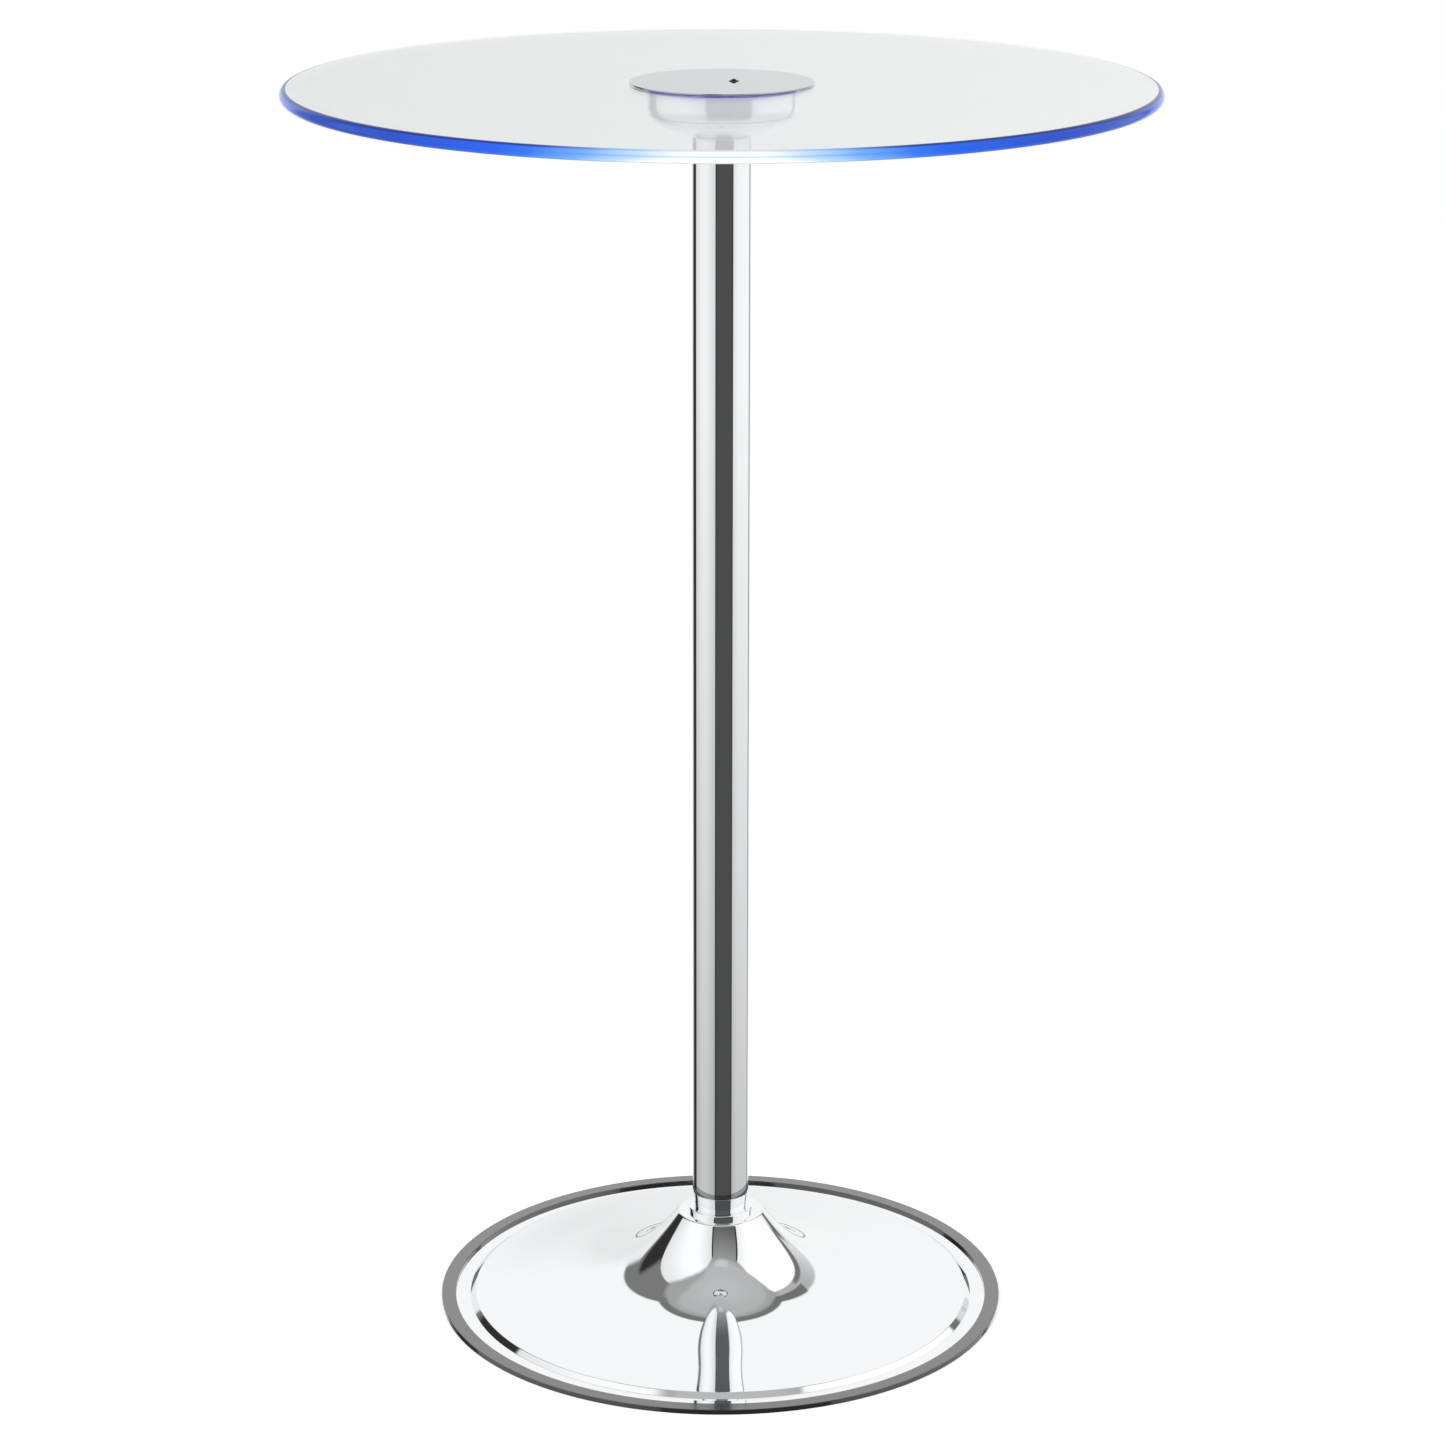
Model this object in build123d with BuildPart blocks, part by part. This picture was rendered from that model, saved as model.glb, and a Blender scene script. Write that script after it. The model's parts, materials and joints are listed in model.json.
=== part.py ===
from build123d import *
import math
import os

os.makedirs("parts", exist_ok=True)

# Shared by every piece
overrun = 5.0  # how far a cutting shape runs past what it cuts
fit = 0.05  # per side, between pieces that are pushed together once
running = 0.3  # per side, between a moving piece and what it passes
sheet_thickness = 1.0  # pressed and chromed steel

# Glass top
table_height = 1061.0  # floor to the top face of the glass
glass_diameter = 711.2
glass_thickness = 10.0
glass_hole_arris = 0.6
glass_radius = glass_diameter / 2
glass_bottom = table_height - glass_thickness
glass_middle = table_height - glass_thickness / 2

# Round base
base_diameter = 490.0
edge_ring_width = 12.5
edge_ring_height = 4.3
edge_ring_lip_width = 10.5
edge_ring_lip_thickness = 0.8
edge_ring_bend_radius = 0.6
rim_flange_width = 12.5
rim_step_run = 4.8
rim_step_height = 4.0
rim_bend_radius = 1.6
rim_land = 5.0
base_radius = base_diameter / 2
edge_ring_inner = base_radius - edge_ring_width
flange_top = edge_ring_lip_thickness + sheet_thickness
flange_outer = edge_ring_inner - fit
step_foot_radius = edge_ring_inner - rim_flange_width
step_top_radius = step_foot_radius - rim_step_run
step_top = flange_top + rim_step_height

# The flare between the base's shoulder and its step
shoulder_height = 76.1
shoulder_radius = 37.7
shoulder_bend_radius = 3.0
shoulder_slope = 54.5
rim_slope = 5.0
flare_reach_shares = (0.179, 0.271, 0.461, 0.718)
flare_drop_shares = (0.471, 0.623, 0.801, 0.907)
flare_end_radius = step_top_radius - rim_land
flare_end_height = step_top + rim_land * math.tan(math.radians(rim_slope))
flare_reach = flare_end_radius - shoulder_radius
flare_drop = shoulder_height - flare_end_height
crown_radius = shoulder_radius - shoulder_bend_radius * math.sin(math.radians(shoulder_slope))
crown_height = shoulder_height + shoulder_bend_radius * (1 - math.cos(math.radians(shoulder_slope)))

# Column and the tapered spigot pressed into its foot
column_diameter = 48.6
column_wall = 1.5
column_bottom = 95.0
column_edge_radius = 0.4
neck_inset = 0.5
neck_taper_angle = 4.5
spigot_length = 52.0
spigot_plug_length = 30.0
spigot_bore = 14.0
column_radius = column_diameter / 2
column_bore = column_radius - column_wall
neck_radius = column_radius - neck_inset
neck_taper = math.tan(math.radians(neck_taper_angle))
spigot_bottom = column_bottom - spigot_length
spigot_tip_radius = neck_radius - neck_taper * spigot_length

# Hub welded under the bell, with the bead that shows round the neck
bead_height = 3.8
bead_wall = 4.9
bead_overhang = 1.1
bead_bend_radius = 1.4
hub_wall = 5.0
hub_floor_thickness = 8.0
hub_foot_radius = 58.0
hub_foot_thickness = 4.0
hub_floor_gap = 2.0
gusset_thickness = 4.0
gusset_count = 4
gusset_height_share = 0.85
gusset_reach_share = 0.9
bead_top = crown_height + bead_height
socket_radius = neck_radius - neck_taper * (column_bottom - bead_top) + fit
bead_radius = socket_radius + bead_wall
hub_radius = bead_radius - bead_overhang
hub_cavity_radius = hub_radius - hub_wall
hub_floor_top = spigot_bottom - hub_floor_gap
hub_floor_bottom = hub_floor_top - hub_floor_thickness
socket_tip_radius = socket_radius - neck_taper * (bead_top - hub_floor_top)

# Bottom plate and ballast
floor_gap = 2.0
bottom_plate_thickness = 1.0
bottom_plate_gap = 0.6
access_hole_radius = 24.0
ballast_inner_radius = 62.0
ballast_rim_gap = 12.0
ballast_height = 24.0
ballast_shell_gap = 0.5
plate_screw_inset = 50.0
plate_screw_count = 4
plate_screw_radius = 2.5
plate_screw_length = 8.0
plate_screw_head_radius = 4.5
plate_screw_head_height = 1.5
plate_screw_bend_radius = 0.7
ballast_outer_radius = flare_end_radius - ballast_rim_gap
plate_screw_circle = ballast_outer_radius - plate_screw_inset
bottom_plate_radius = step_top_radius - sheet_thickness - bottom_plate_gap
ballast_bottom = floor_gap + bottom_plate_thickness
hub_foot_top = ballast_bottom + hub_foot_thickness

# Bolt that pulls the column into the hub
bolt_radius = 5.0
bolt_across_flats = 17.0
bolt_head_height = 6.4
bolt_reach = 26.0
washer_radius = 10.5
washer_thickness = 2.0
lock_washer_radius = 8.8
lock_washer_thickness = 2.4
lock_washer_split = 1.5
washer_bottom = hub_floor_bottom - washer_thickness
lock_washer_bottom = washer_bottom - lock_washer_thickness
bolt_head_bottom = lock_washer_bottom - bolt_head_height
bolt_tip = spigot_bottom + bolt_reach

# Lamp bowl under the glass
bowl_diameter = 123.0
bowl_wall_height = 12.6
bowl_corner_radius = 16.4
bowl_dish_radius = 53.0
bowl_dish_slope = 35.0
bowl_rim_bend_radius = 1.5
bowl_groove_depth = 0.35
bowl_groove_slope = 62.0
carrier_flange_thickness = 1.4
glass_gasket_thickness = 1.0
gasket_lip_thickness = 0.6
gasket_lip_height = 2.0
bowl_radius = bowl_diameter / 2
bowl_inside = bowl_radius - sheet_thickness
bowl_rim = glass_bottom - glass_gasket_thickness - carrier_flange_thickness
corner_height = bowl_rim - bowl_wall_height
dish_sine = math.sin(math.radians(bowl_dish_slope))
dish_cosine = math.cos(math.radians(bowl_dish_slope))
corner_centre = bowl_radius - bowl_corner_radius
dish_centre = corner_centre + (bowl_corner_radius - bowl_dish_radius) * dish_sine
dish_height = corner_height + (bowl_dish_radius - bowl_corner_radius) * dish_cosine
bowl_bottom = dish_height - bowl_dish_radius

# Fixing between the column and the bowl
spacer_radius = 21.0
spacer_thickness = 3.0
column_plug_height = 16.0
column_plug_bore = 6.0
bowl_screw_circle = 13.0
bowl_screw_count = 3
bowl_screw_radius = 2.5
bowl_screw_length = 14.0
bowl_screw_head_radius = 4.6
bowl_screw_head_height = 3.0
bowl_washer_radius = 5.2
bowl_washer_thickness = 1.0
screw_recess_share = 0.5
column_top = bowl_bottom - spacer_thickness
bowl_screw_seat = bowl_bottom + sheet_thickness + bowl_washer_thickness

# Battery cells and their tray
cell_diameter = 14.5
cell_length = 50.5
cell_nub_radius = 2.75
cell_nub_height = 1.3
cell_pitch = 15.0
cell_play = 0.15
cell_corner_radius = 0.6
contact_thickness = 0.4
contact_height = 11.0
contact_bump_height = 0.65
contact_bump_radius = 2.6
contact_side_margin = 6.0
channel_width = 5.8
tray_wall = 1.2
tray_corner_radius = 3.0
tray_cover_share = 0.6
tray_leg_radius = 2.2
cell_radius = cell_diameter / 2
cell_seat = cell_radius + cell_play
contact_gap = contact_bump_height + running
bay_half_length = cell_length / 2 + contact_gap + contact_thickness
tray_half_length = bay_half_length + tray_wall
bay_inner = channel_width / 2 + tray_wall
first_cell = bay_inner + cell_seat
second_cell = first_cell + cell_pitch
tray_half_width = second_cell + cell_seat + tray_wall
tray_leg_x = tray_half_length - tray_corner_radius
tray_leg_y = tray_half_width - tray_corner_radius
tray_reach = math.hypot(tray_leg_x, tray_leg_y) + tray_corner_radius
cell_axis = glass_bottom - cell_radius
tray_bottom = cell_axis - cell_seat - tray_wall
tray_top = tray_bottom + (2 * cell_seat + tray_wall) * tray_cover_share
contact_width = cell_pitch + 2 * contact_side_margin

# Lamp carrier and its band of lamps
carrier_wall = 1.5
carrier_tray_gap = 2.3
rim_hole_clearance = 1.0
carrier_floor_thickness = 1.5
carrier_top_gap = 0.6
boss_radius = 2.6
band_thickness = 0.3
band_height = 8.0
lamp_count = 24
lamp_size = 5.0
lamp_height = 1.6
lamp_glass_gap = 1.6
carrier_inside = tray_reach + carrier_tray_gap
carrier_outside = carrier_inside + carrier_wall
band_outside = carrier_outside + fit + band_thickness
glass_hole_radius = band_outside + fit + lamp_height + lamp_glass_gap
bowl_rim_hole = carrier_outside + rim_hole_clearance
gasket_outer = glass_hole_radius - running
gasket_inner = gasket_outer - gasket_lip_thickness
carrier_flange_outer = bowl_radius - bowl_rim_bend_radius
carrier_flange_top = bowl_rim + carrier_flange_thickness
carrier_top = table_height - carrier_top_gap

# Control board, receiver and light pipe
board_thickness = 1.6
board_standoff = 3.0
board_parts_height = 3.4
board_parts_gap = 1.0
board_edge_gap = 0.6
board_screw_count = 3
board_screw_turn = 30.0
board_screw_share = 0.8
board_screw_radius = 1.2
board_screw_length = 5.0
board_screw_head_radius = 2.2
board_screw_head_height = 1.2
receiver_x = 9.6
receiver_width = 5.0
receiver_depth = 4.4
receiver_height = 5.6
pipe_radius = 2.75
pipe_proud = 2.0
connector_share = 0.64
connector_length = 6.0
connector_width = 5.0
chip_size = 8.0
chip_height = 1.4
chip_share = 0.4
capacitor_radius = 2.5
board_top = tray_bottom - board_parts_gap - board_parts_height
board_bottom = board_top - board_thickness
carrier_floor_top = board_bottom - board_standoff
carrier_floor = carrier_floor_top - carrier_floor_thickness
board_radius = math.hypot(tray_leg_x, tray_leg_y) - tray_leg_radius - board_edge_gap
board_screw_circle = board_radius * board_screw_share
connector_centre = board_radius * connector_share
connector_face = connector_centre + connector_length / 2
receiver_top = board_top + receiver_height
lead_height = board_top + board_parts_height / 2

# Cover plate on the glass
cover_diameter = 150.0
cover_thickness = 1.3
cover_gasket_thickness = 0.4
cover_gasket_width = 5.0
cover_gasket_inset = 2.5
cover_spigot_wall = 1.5
cover_spigot_height = 6.0
cover_spigot_slot = 8.0
cover_edge_share = 0.46
cover_radius = cover_diameter / 2
cover_bottom = table_height + cover_gasket_thickness
cover_top = cover_bottom + cover_thickness
cover_spigot_outer = carrier_inside - running
cover_spigot_bottom = cover_bottom - cover_spigot_height

# Power button at the back of the bowl
button_height_share = 0.42
button_radius = 3.4
button_proud = 3.2
button_travel = 1.5
button_crown_share = 0.25
bezel_radius = 5.4
bezel_thickness = 1.4
barrel_wall = 0.8
barrel_share = 0.55
switch_depth_share = 0.2
switch_size = 10.0
switch_corner_radius = 1.0
switch_nut_radius = 5.6
switch_nut_thickness = 2.0
button_z = corner_height + bowl_wall_height * button_height_share
switch_room = bowl_inside - carrier_outside
barrel_bore = button_radius + running
barrel_radius = barrel_bore + barrel_wall
barrel_end = bowl_inside - switch_room * barrel_share
switch_end = barrel_end - switch_room * switch_depth_share
bezel_face = bowl_radius + bezel_thickness
button_face = bezel_face + button_proud
button_back = barrel_end + button_travel + running
nut_corner = switch_nut_radius / math.cos(math.radians(30))
nut_face = math.sqrt(bowl_inside**2 - nut_corner**2) - fit

# Leads between the parts of the lamp
lead_radius = 0.9
lead_bend_radius = 2.6
lead_slack = 5.6
lamp_lead_gap = 1.0
lamp_lead_height = cover_spigot_bottom - lead_radius - lamp_lead_gap
tray_lead_height = (tray_bottom + tray_top) / 2
gutter_x = (tray_half_length + carrier_inside) / 2
gutter_y = (tray_half_width + carrier_inside) / 2


def ring(inner, outer, bottom, height):
    """A flat ring about the table's axis."""
    with BuildPart() as piece:
        with BuildSketch(Plane.XY.offset(bottom)):
            Circle(outer)
            Circle(inner, mode=Mode.SUBTRACT)
        extrude(amount=height)
    return piece.part


def save(piece, name):
    """Label one finished piece and write it to its own file."""
    piece.label = name
    export_step(piece, f"parts/{name}.step")


def slope_down(degrees):
    """The unit direction that leaves the axis and falls at this slope."""
    return Vector(math.cos(math.radians(degrees)), -math.sin(math.radians(degrees)))


def flare_line(inset):
    """The flare from shoulder to rim, moved inwards by inset at right angles to itself."""
    reach = (0, *flare_reach_shares, 1)
    drop = (0, *flare_drop_shares, 1)
    places = [
        (shoulder_radius + flare_reach * along, shoulder_height - flare_drop * down)
        for along, down in zip(reach, drop)
    ]
    ends = (slope_down(shoulder_slope), slope_down(rim_slope))
    outside = Spline(places, tangents=ends, mode=Mode.PRIVATE)
    stations = [station / len(reach) for station in range(len(reach) + 1)]
    moved = [
        (outside @ station) + inset * (outside % station).rotate(Axis.Z, -90)
        for station in stations
    ]
    return Spline(moved, tangents=ends)


def shell_line(inset):
    """One face of the base's pressed sheet in the XZ plane, from the collar hole to the edge."""
    bend_centre = (crown_radius, crown_height - shoulder_bend_radius)
    bend = CenterArc(bend_centre, shoulder_bend_radius - inset, 90, -shoulder_slope)
    crown = Line((hub_radius + fit, crown_height - inset), bend @ 0)
    flare = flare_line(inset)
    rim = FilletPolyline(
        flare @ 1,
        (flare @ 1) + slope_down(rim_slope) * rim_land,
        (step_foot_radius - inset, flange_top - inset),
        (flange_outer, flange_top - inset),
        radius=(rim_bend_radius - inset / 2, rim_bend_radius / 2 + inset / 2),
    )
    return crown @ 0, rim @ 1


def bowl_line(inset):
    """One face of the bowl's sheet in the XZ plane, from the rim's hole to the axis."""
    bend_centre = (bowl_radius - bowl_rim_bend_radius, bowl_rim - bowl_rim_bend_radius)
    sweep = 90 - bowl_dish_slope
    bend = CenterArc(bend_centre, bowl_rim_bend_radius - inset, 90, -90)
    corner = CenterArc((corner_centre, corner_height), bowl_corner_radius - inset, 0, -sweep)
    dish = CenterArc((dish_centre, dish_height), bowl_dish_radius - inset, -sweep, -bowl_dish_slope)
    rim = Line((bowl_rim_hole, bowl_rim - inset), bend @ 0)
    Line(bend @ 1, corner @ 0)
    floor = Line(dish @ 1, (0, bowl_bottom + inset))
    return rim @ 0, floor @ 1


def pressed_sheet(line):
    """A closed XZ outline between the two faces that the line function draws."""
    with BuildSketch(Plane.XZ) as section:
        with BuildLine():
            outside = line(0)
            inside = line(sheet_thickness)
            Line(outside[0], inside[0])
            Line(outside[1], inside[1])
        make_face()
    return section.sketch


# Round base: the chromed pressing
with BuildPart() as base_shell:
    add(pressed_sheet(shell_line))
    revolve(axis=Axis.Z)
save(base_shell.part, "base_shell")

# Round base: the black edge ring that it stands on
with BuildPart() as base_edge_ring:
    with BuildSketch():
        Circle(base_radius)
        Circle(edge_ring_inner - edge_ring_lip_width, mode=Mode.SUBTRACT)
    extrude(amount=edge_ring_height)
    with BuildSketch(Plane.XY.offset(edge_ring_lip_thickness)):
        Circle(edge_ring_inner)
    extrude(amount=edge_ring_height, mode=Mode.SUBTRACT)
    fillet(base_edge_ring.faces().sort_by(Axis.Z)[-1].edges(), radius=edge_ring_bend_radius)
save(base_edge_ring.part, "base_edge_ring")

# Round base: the sheet that closes it underneath, with a hole to reach the bolt
with BuildPart() as bottom_plate:
    with BuildSketch(Plane.XY.offset(floor_gap)):
        Circle(bottom_plate_radius)
        Circle(access_hole_radius, mode=Mode.SUBTRACT)
        with PolarLocations(plate_screw_circle, plate_screw_count):
            Circle(plate_screw_radius + running, mode=Mode.SUBTRACT)
    extrude(amount=bottom_plate_thickness)
save(bottom_plate.part, "bottom_plate")

# Round base: the cast ring that gives it weight
with BuildPart() as ballast:
    with BuildSketch(Plane.XZ):
        with BuildLine():
            under_shell = flare_line(sheet_thickness + ballast_shell_gap)
            Polyline(
                under_shell @ 1,
                ((under_shell @ 1).X, ballast_bottom),
                ((under_shell @ 0).X, ballast_bottom),
                under_shell @ 0,
            )
        make_face()
        with Locations((ballast_inner_radius, ballast_bottom)):
            Rectangle(
                ballast_outer_radius - ballast_inner_radius,
                ballast_height,
                align=(Align.MIN, Align.MIN),
                mode=Mode.INTERSECT,
            )
    revolve(axis=Axis.Z)
    with BuildSketch(Plane.XY.offset(ballast_bottom)):
        with PolarLocations(plate_screw_circle, plate_screw_count):
            Circle(plate_screw_radius + fit)
    extrude(amount=plate_screw_length, mode=Mode.SUBTRACT)
save(ballast.part, "ballast")

# Round base: the screws that hold the bottom plate to the ballast
with BuildPart() as bottom_plate_screws:
    with BuildSketch(Plane.XY.offset(floor_gap)):
        with PolarLocations(plate_screw_circle, plate_screw_count):
            Circle(plate_screw_radius)
    extrude(amount=plate_screw_length)
    with BuildSketch(Plane.XY.offset(floor_gap - plate_screw_head_height)):
        with PolarLocations(plate_screw_circle, plate_screw_count):
            Circle(plate_screw_head_radius)
    extrude(amount=plate_screw_head_height)
    heads = bottom_plate_screws.faces().filter_by(Plane.XY).group_by(Axis.Z)[0]
    fillet(heads.edges(), radius=plate_screw_bend_radius)
save(bottom_plate_screws.part, "bottom_plate_screws")

# Hub: the tapered socket, its floor and the bead that shows
with BuildPart() as base_hub:
    with BuildSketch(Plane.XZ):
        with BuildLine():
            Polyline(
                (socket_radius, bead_top),
                (bead_radius, bead_top),
                (bead_radius, crown_height),
                (hub_radius, crown_height),
                (hub_radius, hub_floor_bottom),
                (bolt_radius + running, hub_floor_bottom),
                (bolt_radius + running, hub_floor_top),
                (socket_tip_radius, hub_floor_top),
                close=True,
            )
        make_face()
    revolve(axis=Axis.Z)
    bead_edges = base_hub.edges().filter_by(GeomType.CIRCLE).filter_by(
        lambda edge: edge.radius > hub_radius and edge.center().Z > crown_height + bead_height / 2
    )
    fillet(bead_edges, radius=bead_bend_radius)
save(base_hub.part, "base_hub")

# Hub: the tube that it is welded to
stand_height = hub_floor_bottom - ballast_bottom
save(ring(hub_cavity_radius, hub_radius, ballast_bottom, stand_height), "hub_stand")

# Hub: the gusset that stiffens its foot
with BuildPart() as gusset:
    with BuildSketch(Plane.XZ):
        with BuildLine():
            Polyline(
                (hub_radius + fit, hub_foot_top - hub_foot_thickness / 2),
                (hub_foot_radius * gusset_reach_share, hub_foot_top - hub_foot_thickness / 2),
                (hub_foot_radius * gusset_reach_share, hub_foot_top),
                (hub_radius + fit, hub_foot_top + (hub_floor_bottom - hub_foot_top) * gusset_height_share),
                close=True,
            )
        make_face()
    extrude(amount=gusset_thickness / 2, both=True)

# Hub: its foot, a plate welded round the tube with four gussets
with BuildPart() as hub_foot:
    with BuildSketch(Plane.XY.offset(ballast_bottom)):
        Circle(hub_foot_radius)
        Circle(hub_radius + fit, mode=Mode.SUBTRACT)
    extrude(amount=hub_foot_thickness)
    with PolarLocations(0, gusset_count, start_angle=45):
        add(gusset.part)
save(hub_foot.part, "hub_foot")

# Hub: the bolt that draws the spigot down, and its washers
with BuildPart() as hub_bolt:
    with BuildSketch(Plane.XY.offset(bolt_head_bottom)):
        RegularPolygon(radius=bolt_across_flats / 2, side_count=6, major_radius=False)
    extrude(amount=bolt_head_height)
    with BuildSketch(Plane.XY.offset(lock_washer_bottom)):
        Circle(bolt_radius)
    extrude(amount=bolt_tip - lock_washer_bottom)
save(hub_bolt.part, "hub_bolt")

with BuildPart() as hub_lock_washer:
    with BuildSketch(Plane.XY.offset(lock_washer_bottom)):
        Circle(lock_washer_radius)
        Circle(bolt_radius + running, mode=Mode.SUBTRACT)
        with Locations((lock_washer_radius, 0)):
            Rectangle(2 * (lock_washer_radius - bolt_radius), lock_washer_split, mode=Mode.SUBTRACT)
    extrude(amount=lock_washer_thickness)
save(hub_lock_washer.part, "hub_lock_washer")

save(ring(bolt_radius + running, washer_radius, washer_bottom, washer_thickness), "hub_washer")

# Column: the spigot whose neck shows above the bead
with BuildPart() as column_foot:
    with BuildSketch(Plane.XZ):
        with BuildLine():
            Polyline(
                (bolt_radius + fit, spigot_bottom),
                (spigot_tip_radius, spigot_bottom),
                (neck_radius, column_bottom),
                (column_bore - fit, column_bottom),
                (column_bore - fit, column_bottom + spigot_plug_length),
                (spigot_bore, column_bottom + spigot_plug_length),
                (spigot_bore, bolt_tip),
                (bolt_radius + fit, bolt_tip),
                close=True,
            )
        make_face()
    revolve(axis=Axis.Z)
save(column_foot.part, "column_foot")

# Column: the chromed tube
with BuildPart() as column_tube:
    with BuildSketch(Plane.XY.offset(column_bottom)):
        Circle(column_radius)
        Circle(column_bore, mode=Mode.SUBTRACT)
    extrude(amount=column_top - column_bottom)
    outer_ends = column_tube.edges().filter_by(GeomType.CIRCLE).filter_by(
        lambda edge: edge.radius > column_radius - column_wall / 2
    )
    fillet(outer_ends, radius=column_edge_radius)
save(column_tube.part, "column_tube")

# Column: the plug welded in its top, tapped for the bowl's screws
with BuildPart() as column_top_plug:
    with BuildSketch(Plane.XY.offset(column_top - column_plug_height)):
        Circle(column_bore - fit)
        Circle(column_plug_bore, mode=Mode.SUBTRACT)
        with PolarLocations(bowl_screw_circle, bowl_screw_count):
            Circle(bowl_screw_radius + fit, mode=Mode.SUBTRACT)
    extrude(amount=column_plug_height)
save(column_top_plug.part, "column_top_plug")

with BuildPart() as column_spacer:
    with BuildSketch(Plane.XY.offset(column_top)):
        Circle(spacer_radius)
        Circle(column_plug_bore, mode=Mode.SUBTRACT)
        with PolarLocations(bowl_screw_circle, bowl_screw_count):
            Circle(bowl_screw_radius + running, mode=Mode.SUBTRACT)
    extrude(amount=spacer_thickness)
save(column_spacer.part, "column_spacer")

# Lamp bowl, with the fine groove round its corner and the button's hole at the back
groove_centre = (
    corner_centre + bowl_corner_radius * math.sin(math.radians(bowl_groove_slope)),
    corner_height - bowl_corner_radius * math.cos(math.radians(bowl_groove_slope)),
)
button_plane = Plane(origin=(0, bowl_inside, button_z), x_dir=(1, 0, 0), z_dir=(0, 1, 0))
with BuildPart() as lamp_bowl:
    add(pressed_sheet(bowl_line))
    revolve(axis=Axis.Z)
    with BuildSketch(Plane.XZ):
        with Locations(groove_centre):
            Circle(bowl_groove_depth)
    revolve(axis=Axis.Z, mode=Mode.SUBTRACT)
    with BuildSketch(Plane.XY.offset(bowl_bottom - overrun)):
        with PolarLocations(bowl_screw_circle, bowl_screw_count):
            Circle(bowl_screw_radius + running)
    extrude(amount=sheet_thickness + 2 * overrun, mode=Mode.SUBTRACT)
    with BuildSketch(button_plane.offset(-overrun)):
        Circle(barrel_radius + fit)
    extrude(amount=sheet_thickness + 2 * overrun, mode=Mode.SUBTRACT)
save(lamp_bowl.part, "lamp_bowl")

# Screws that hold the bowl to the column, and their washers
with BuildPart() as bowl_screws:
    with BuildSketch(Plane.XY.offset(bowl_screw_seat - bowl_screw_length)):
        with PolarLocations(bowl_screw_circle, bowl_screw_count):
            Circle(bowl_screw_radius)
    extrude(amount=bowl_screw_length)
    with BuildSketch(Plane.XY.offset(bowl_screw_seat)):
        with PolarLocations(bowl_screw_circle, bowl_screw_count):
            Circle(bowl_screw_head_radius)
    extrude(amount=bowl_screw_head_height)
    with BuildSketch(Plane.XY.offset(bowl_screw_seat + bowl_screw_head_height)):
        with PolarLocations(bowl_screw_circle, bowl_screw_count):
            RegularPolygon(radius=bowl_screw_head_radius * screw_recess_share, side_count=6)
    extrude(amount=-bowl_screw_head_height * screw_recess_share, mode=Mode.SUBTRACT)
save(bowl_screws.part, "bowl_screws")

with BuildPart() as bowl_washers:
    with BuildSketch(Plane.XY.offset(bowl_bottom + sheet_thickness)):
        with PolarLocations(bowl_screw_circle, bowl_screw_count):
            Circle(bowl_washer_radius)
            Circle(bowl_screw_radius + running, mode=Mode.SUBTRACT)
    extrude(amount=bowl_washer_thickness)
save(bowl_washers.part, "bowl_washers")

# Lamp carrier: a moulded cup that hangs in the bowl by its flange
lamp_lead_plane = Plane(origin=(carrier_inside, 0, lamp_lead_height), z_dir=(1, 0, 0))
switch_lead_plane = Plane(origin=(0, carrier_inside, button_z), z_dir=(0, 1, 0))
with BuildPart() as lamp_carrier:
    with BuildSketch(Plane.XY.offset(carrier_floor)):
        Circle(carrier_outside)
    extrude(amount=carrier_top - carrier_floor)
    with BuildSketch(Plane.XY.offset(bowl_rim)):
        Circle(carrier_flange_outer)
    extrude(amount=carrier_flange_thickness)
    with BuildSketch(Plane.XY.offset(carrier_floor_top)):
        Circle(carrier_inside)
    extrude(amount=carrier_top, mode=Mode.SUBTRACT)
    with BuildSketch(Plane.XY.offset(carrier_floor_top)):
        with PolarLocations(board_screw_circle, board_screw_count, start_angle=board_screw_turn):
            Circle(boss_radius)
    extrude(amount=board_standoff)
    with BuildSketch(Plane.XY.offset(board_bottom)):
        with PolarLocations(board_screw_circle, board_screw_count, start_angle=board_screw_turn):
            Circle(board_screw_radius + fit)
    extrude(amount=-board_screw_length, mode=Mode.SUBTRACT)
    for lead_plane in (lamp_lead_plane, switch_lead_plane):
        with BuildSketch(lead_plane.offset(-overrun)):
            Circle(lead_radius + running)
        extrude(amount=carrier_wall + 2 * overrun, mode=Mode.SUBTRACT)
save(lamp_carrier.part, "lamp_carrier")

# Lamps: the flexible band round the carrier and the lamps on it
band_bottom = glass_middle - band_height / 2
save(ring(carrier_outside + fit, band_outside, band_bottom, band_height), "lamp_band")

with BuildPart() as lamps:
    with BuildSketch(Plane.XY.offset(glass_middle - lamp_size / 2)):
        with PolarLocations(band_outside + fit + lamp_height / 2, lamp_count):
            Rectangle(lamp_height, lamp_size)
    extrude(amount=lamp_size)
save(lamps.part, "lamps")

# Glass top with its half-round edge and middle hole, and the clear ring it rests on
with BuildPart() as glass_gasket:
    with BuildSketch(Plane.XY.offset(carrier_flange_top)):
        Circle(carrier_flange_outer)
        Circle(gasket_inner, mode=Mode.SUBTRACT)
    extrude(amount=glass_gasket_thickness)
    with BuildSketch(Plane.XY.offset(glass_bottom)):
        Circle(gasket_outer)
        Circle(gasket_inner, mode=Mode.SUBTRACT)
    extrude(amount=gasket_lip_height)
save(glass_gasket.part, "glass_gasket")

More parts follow.
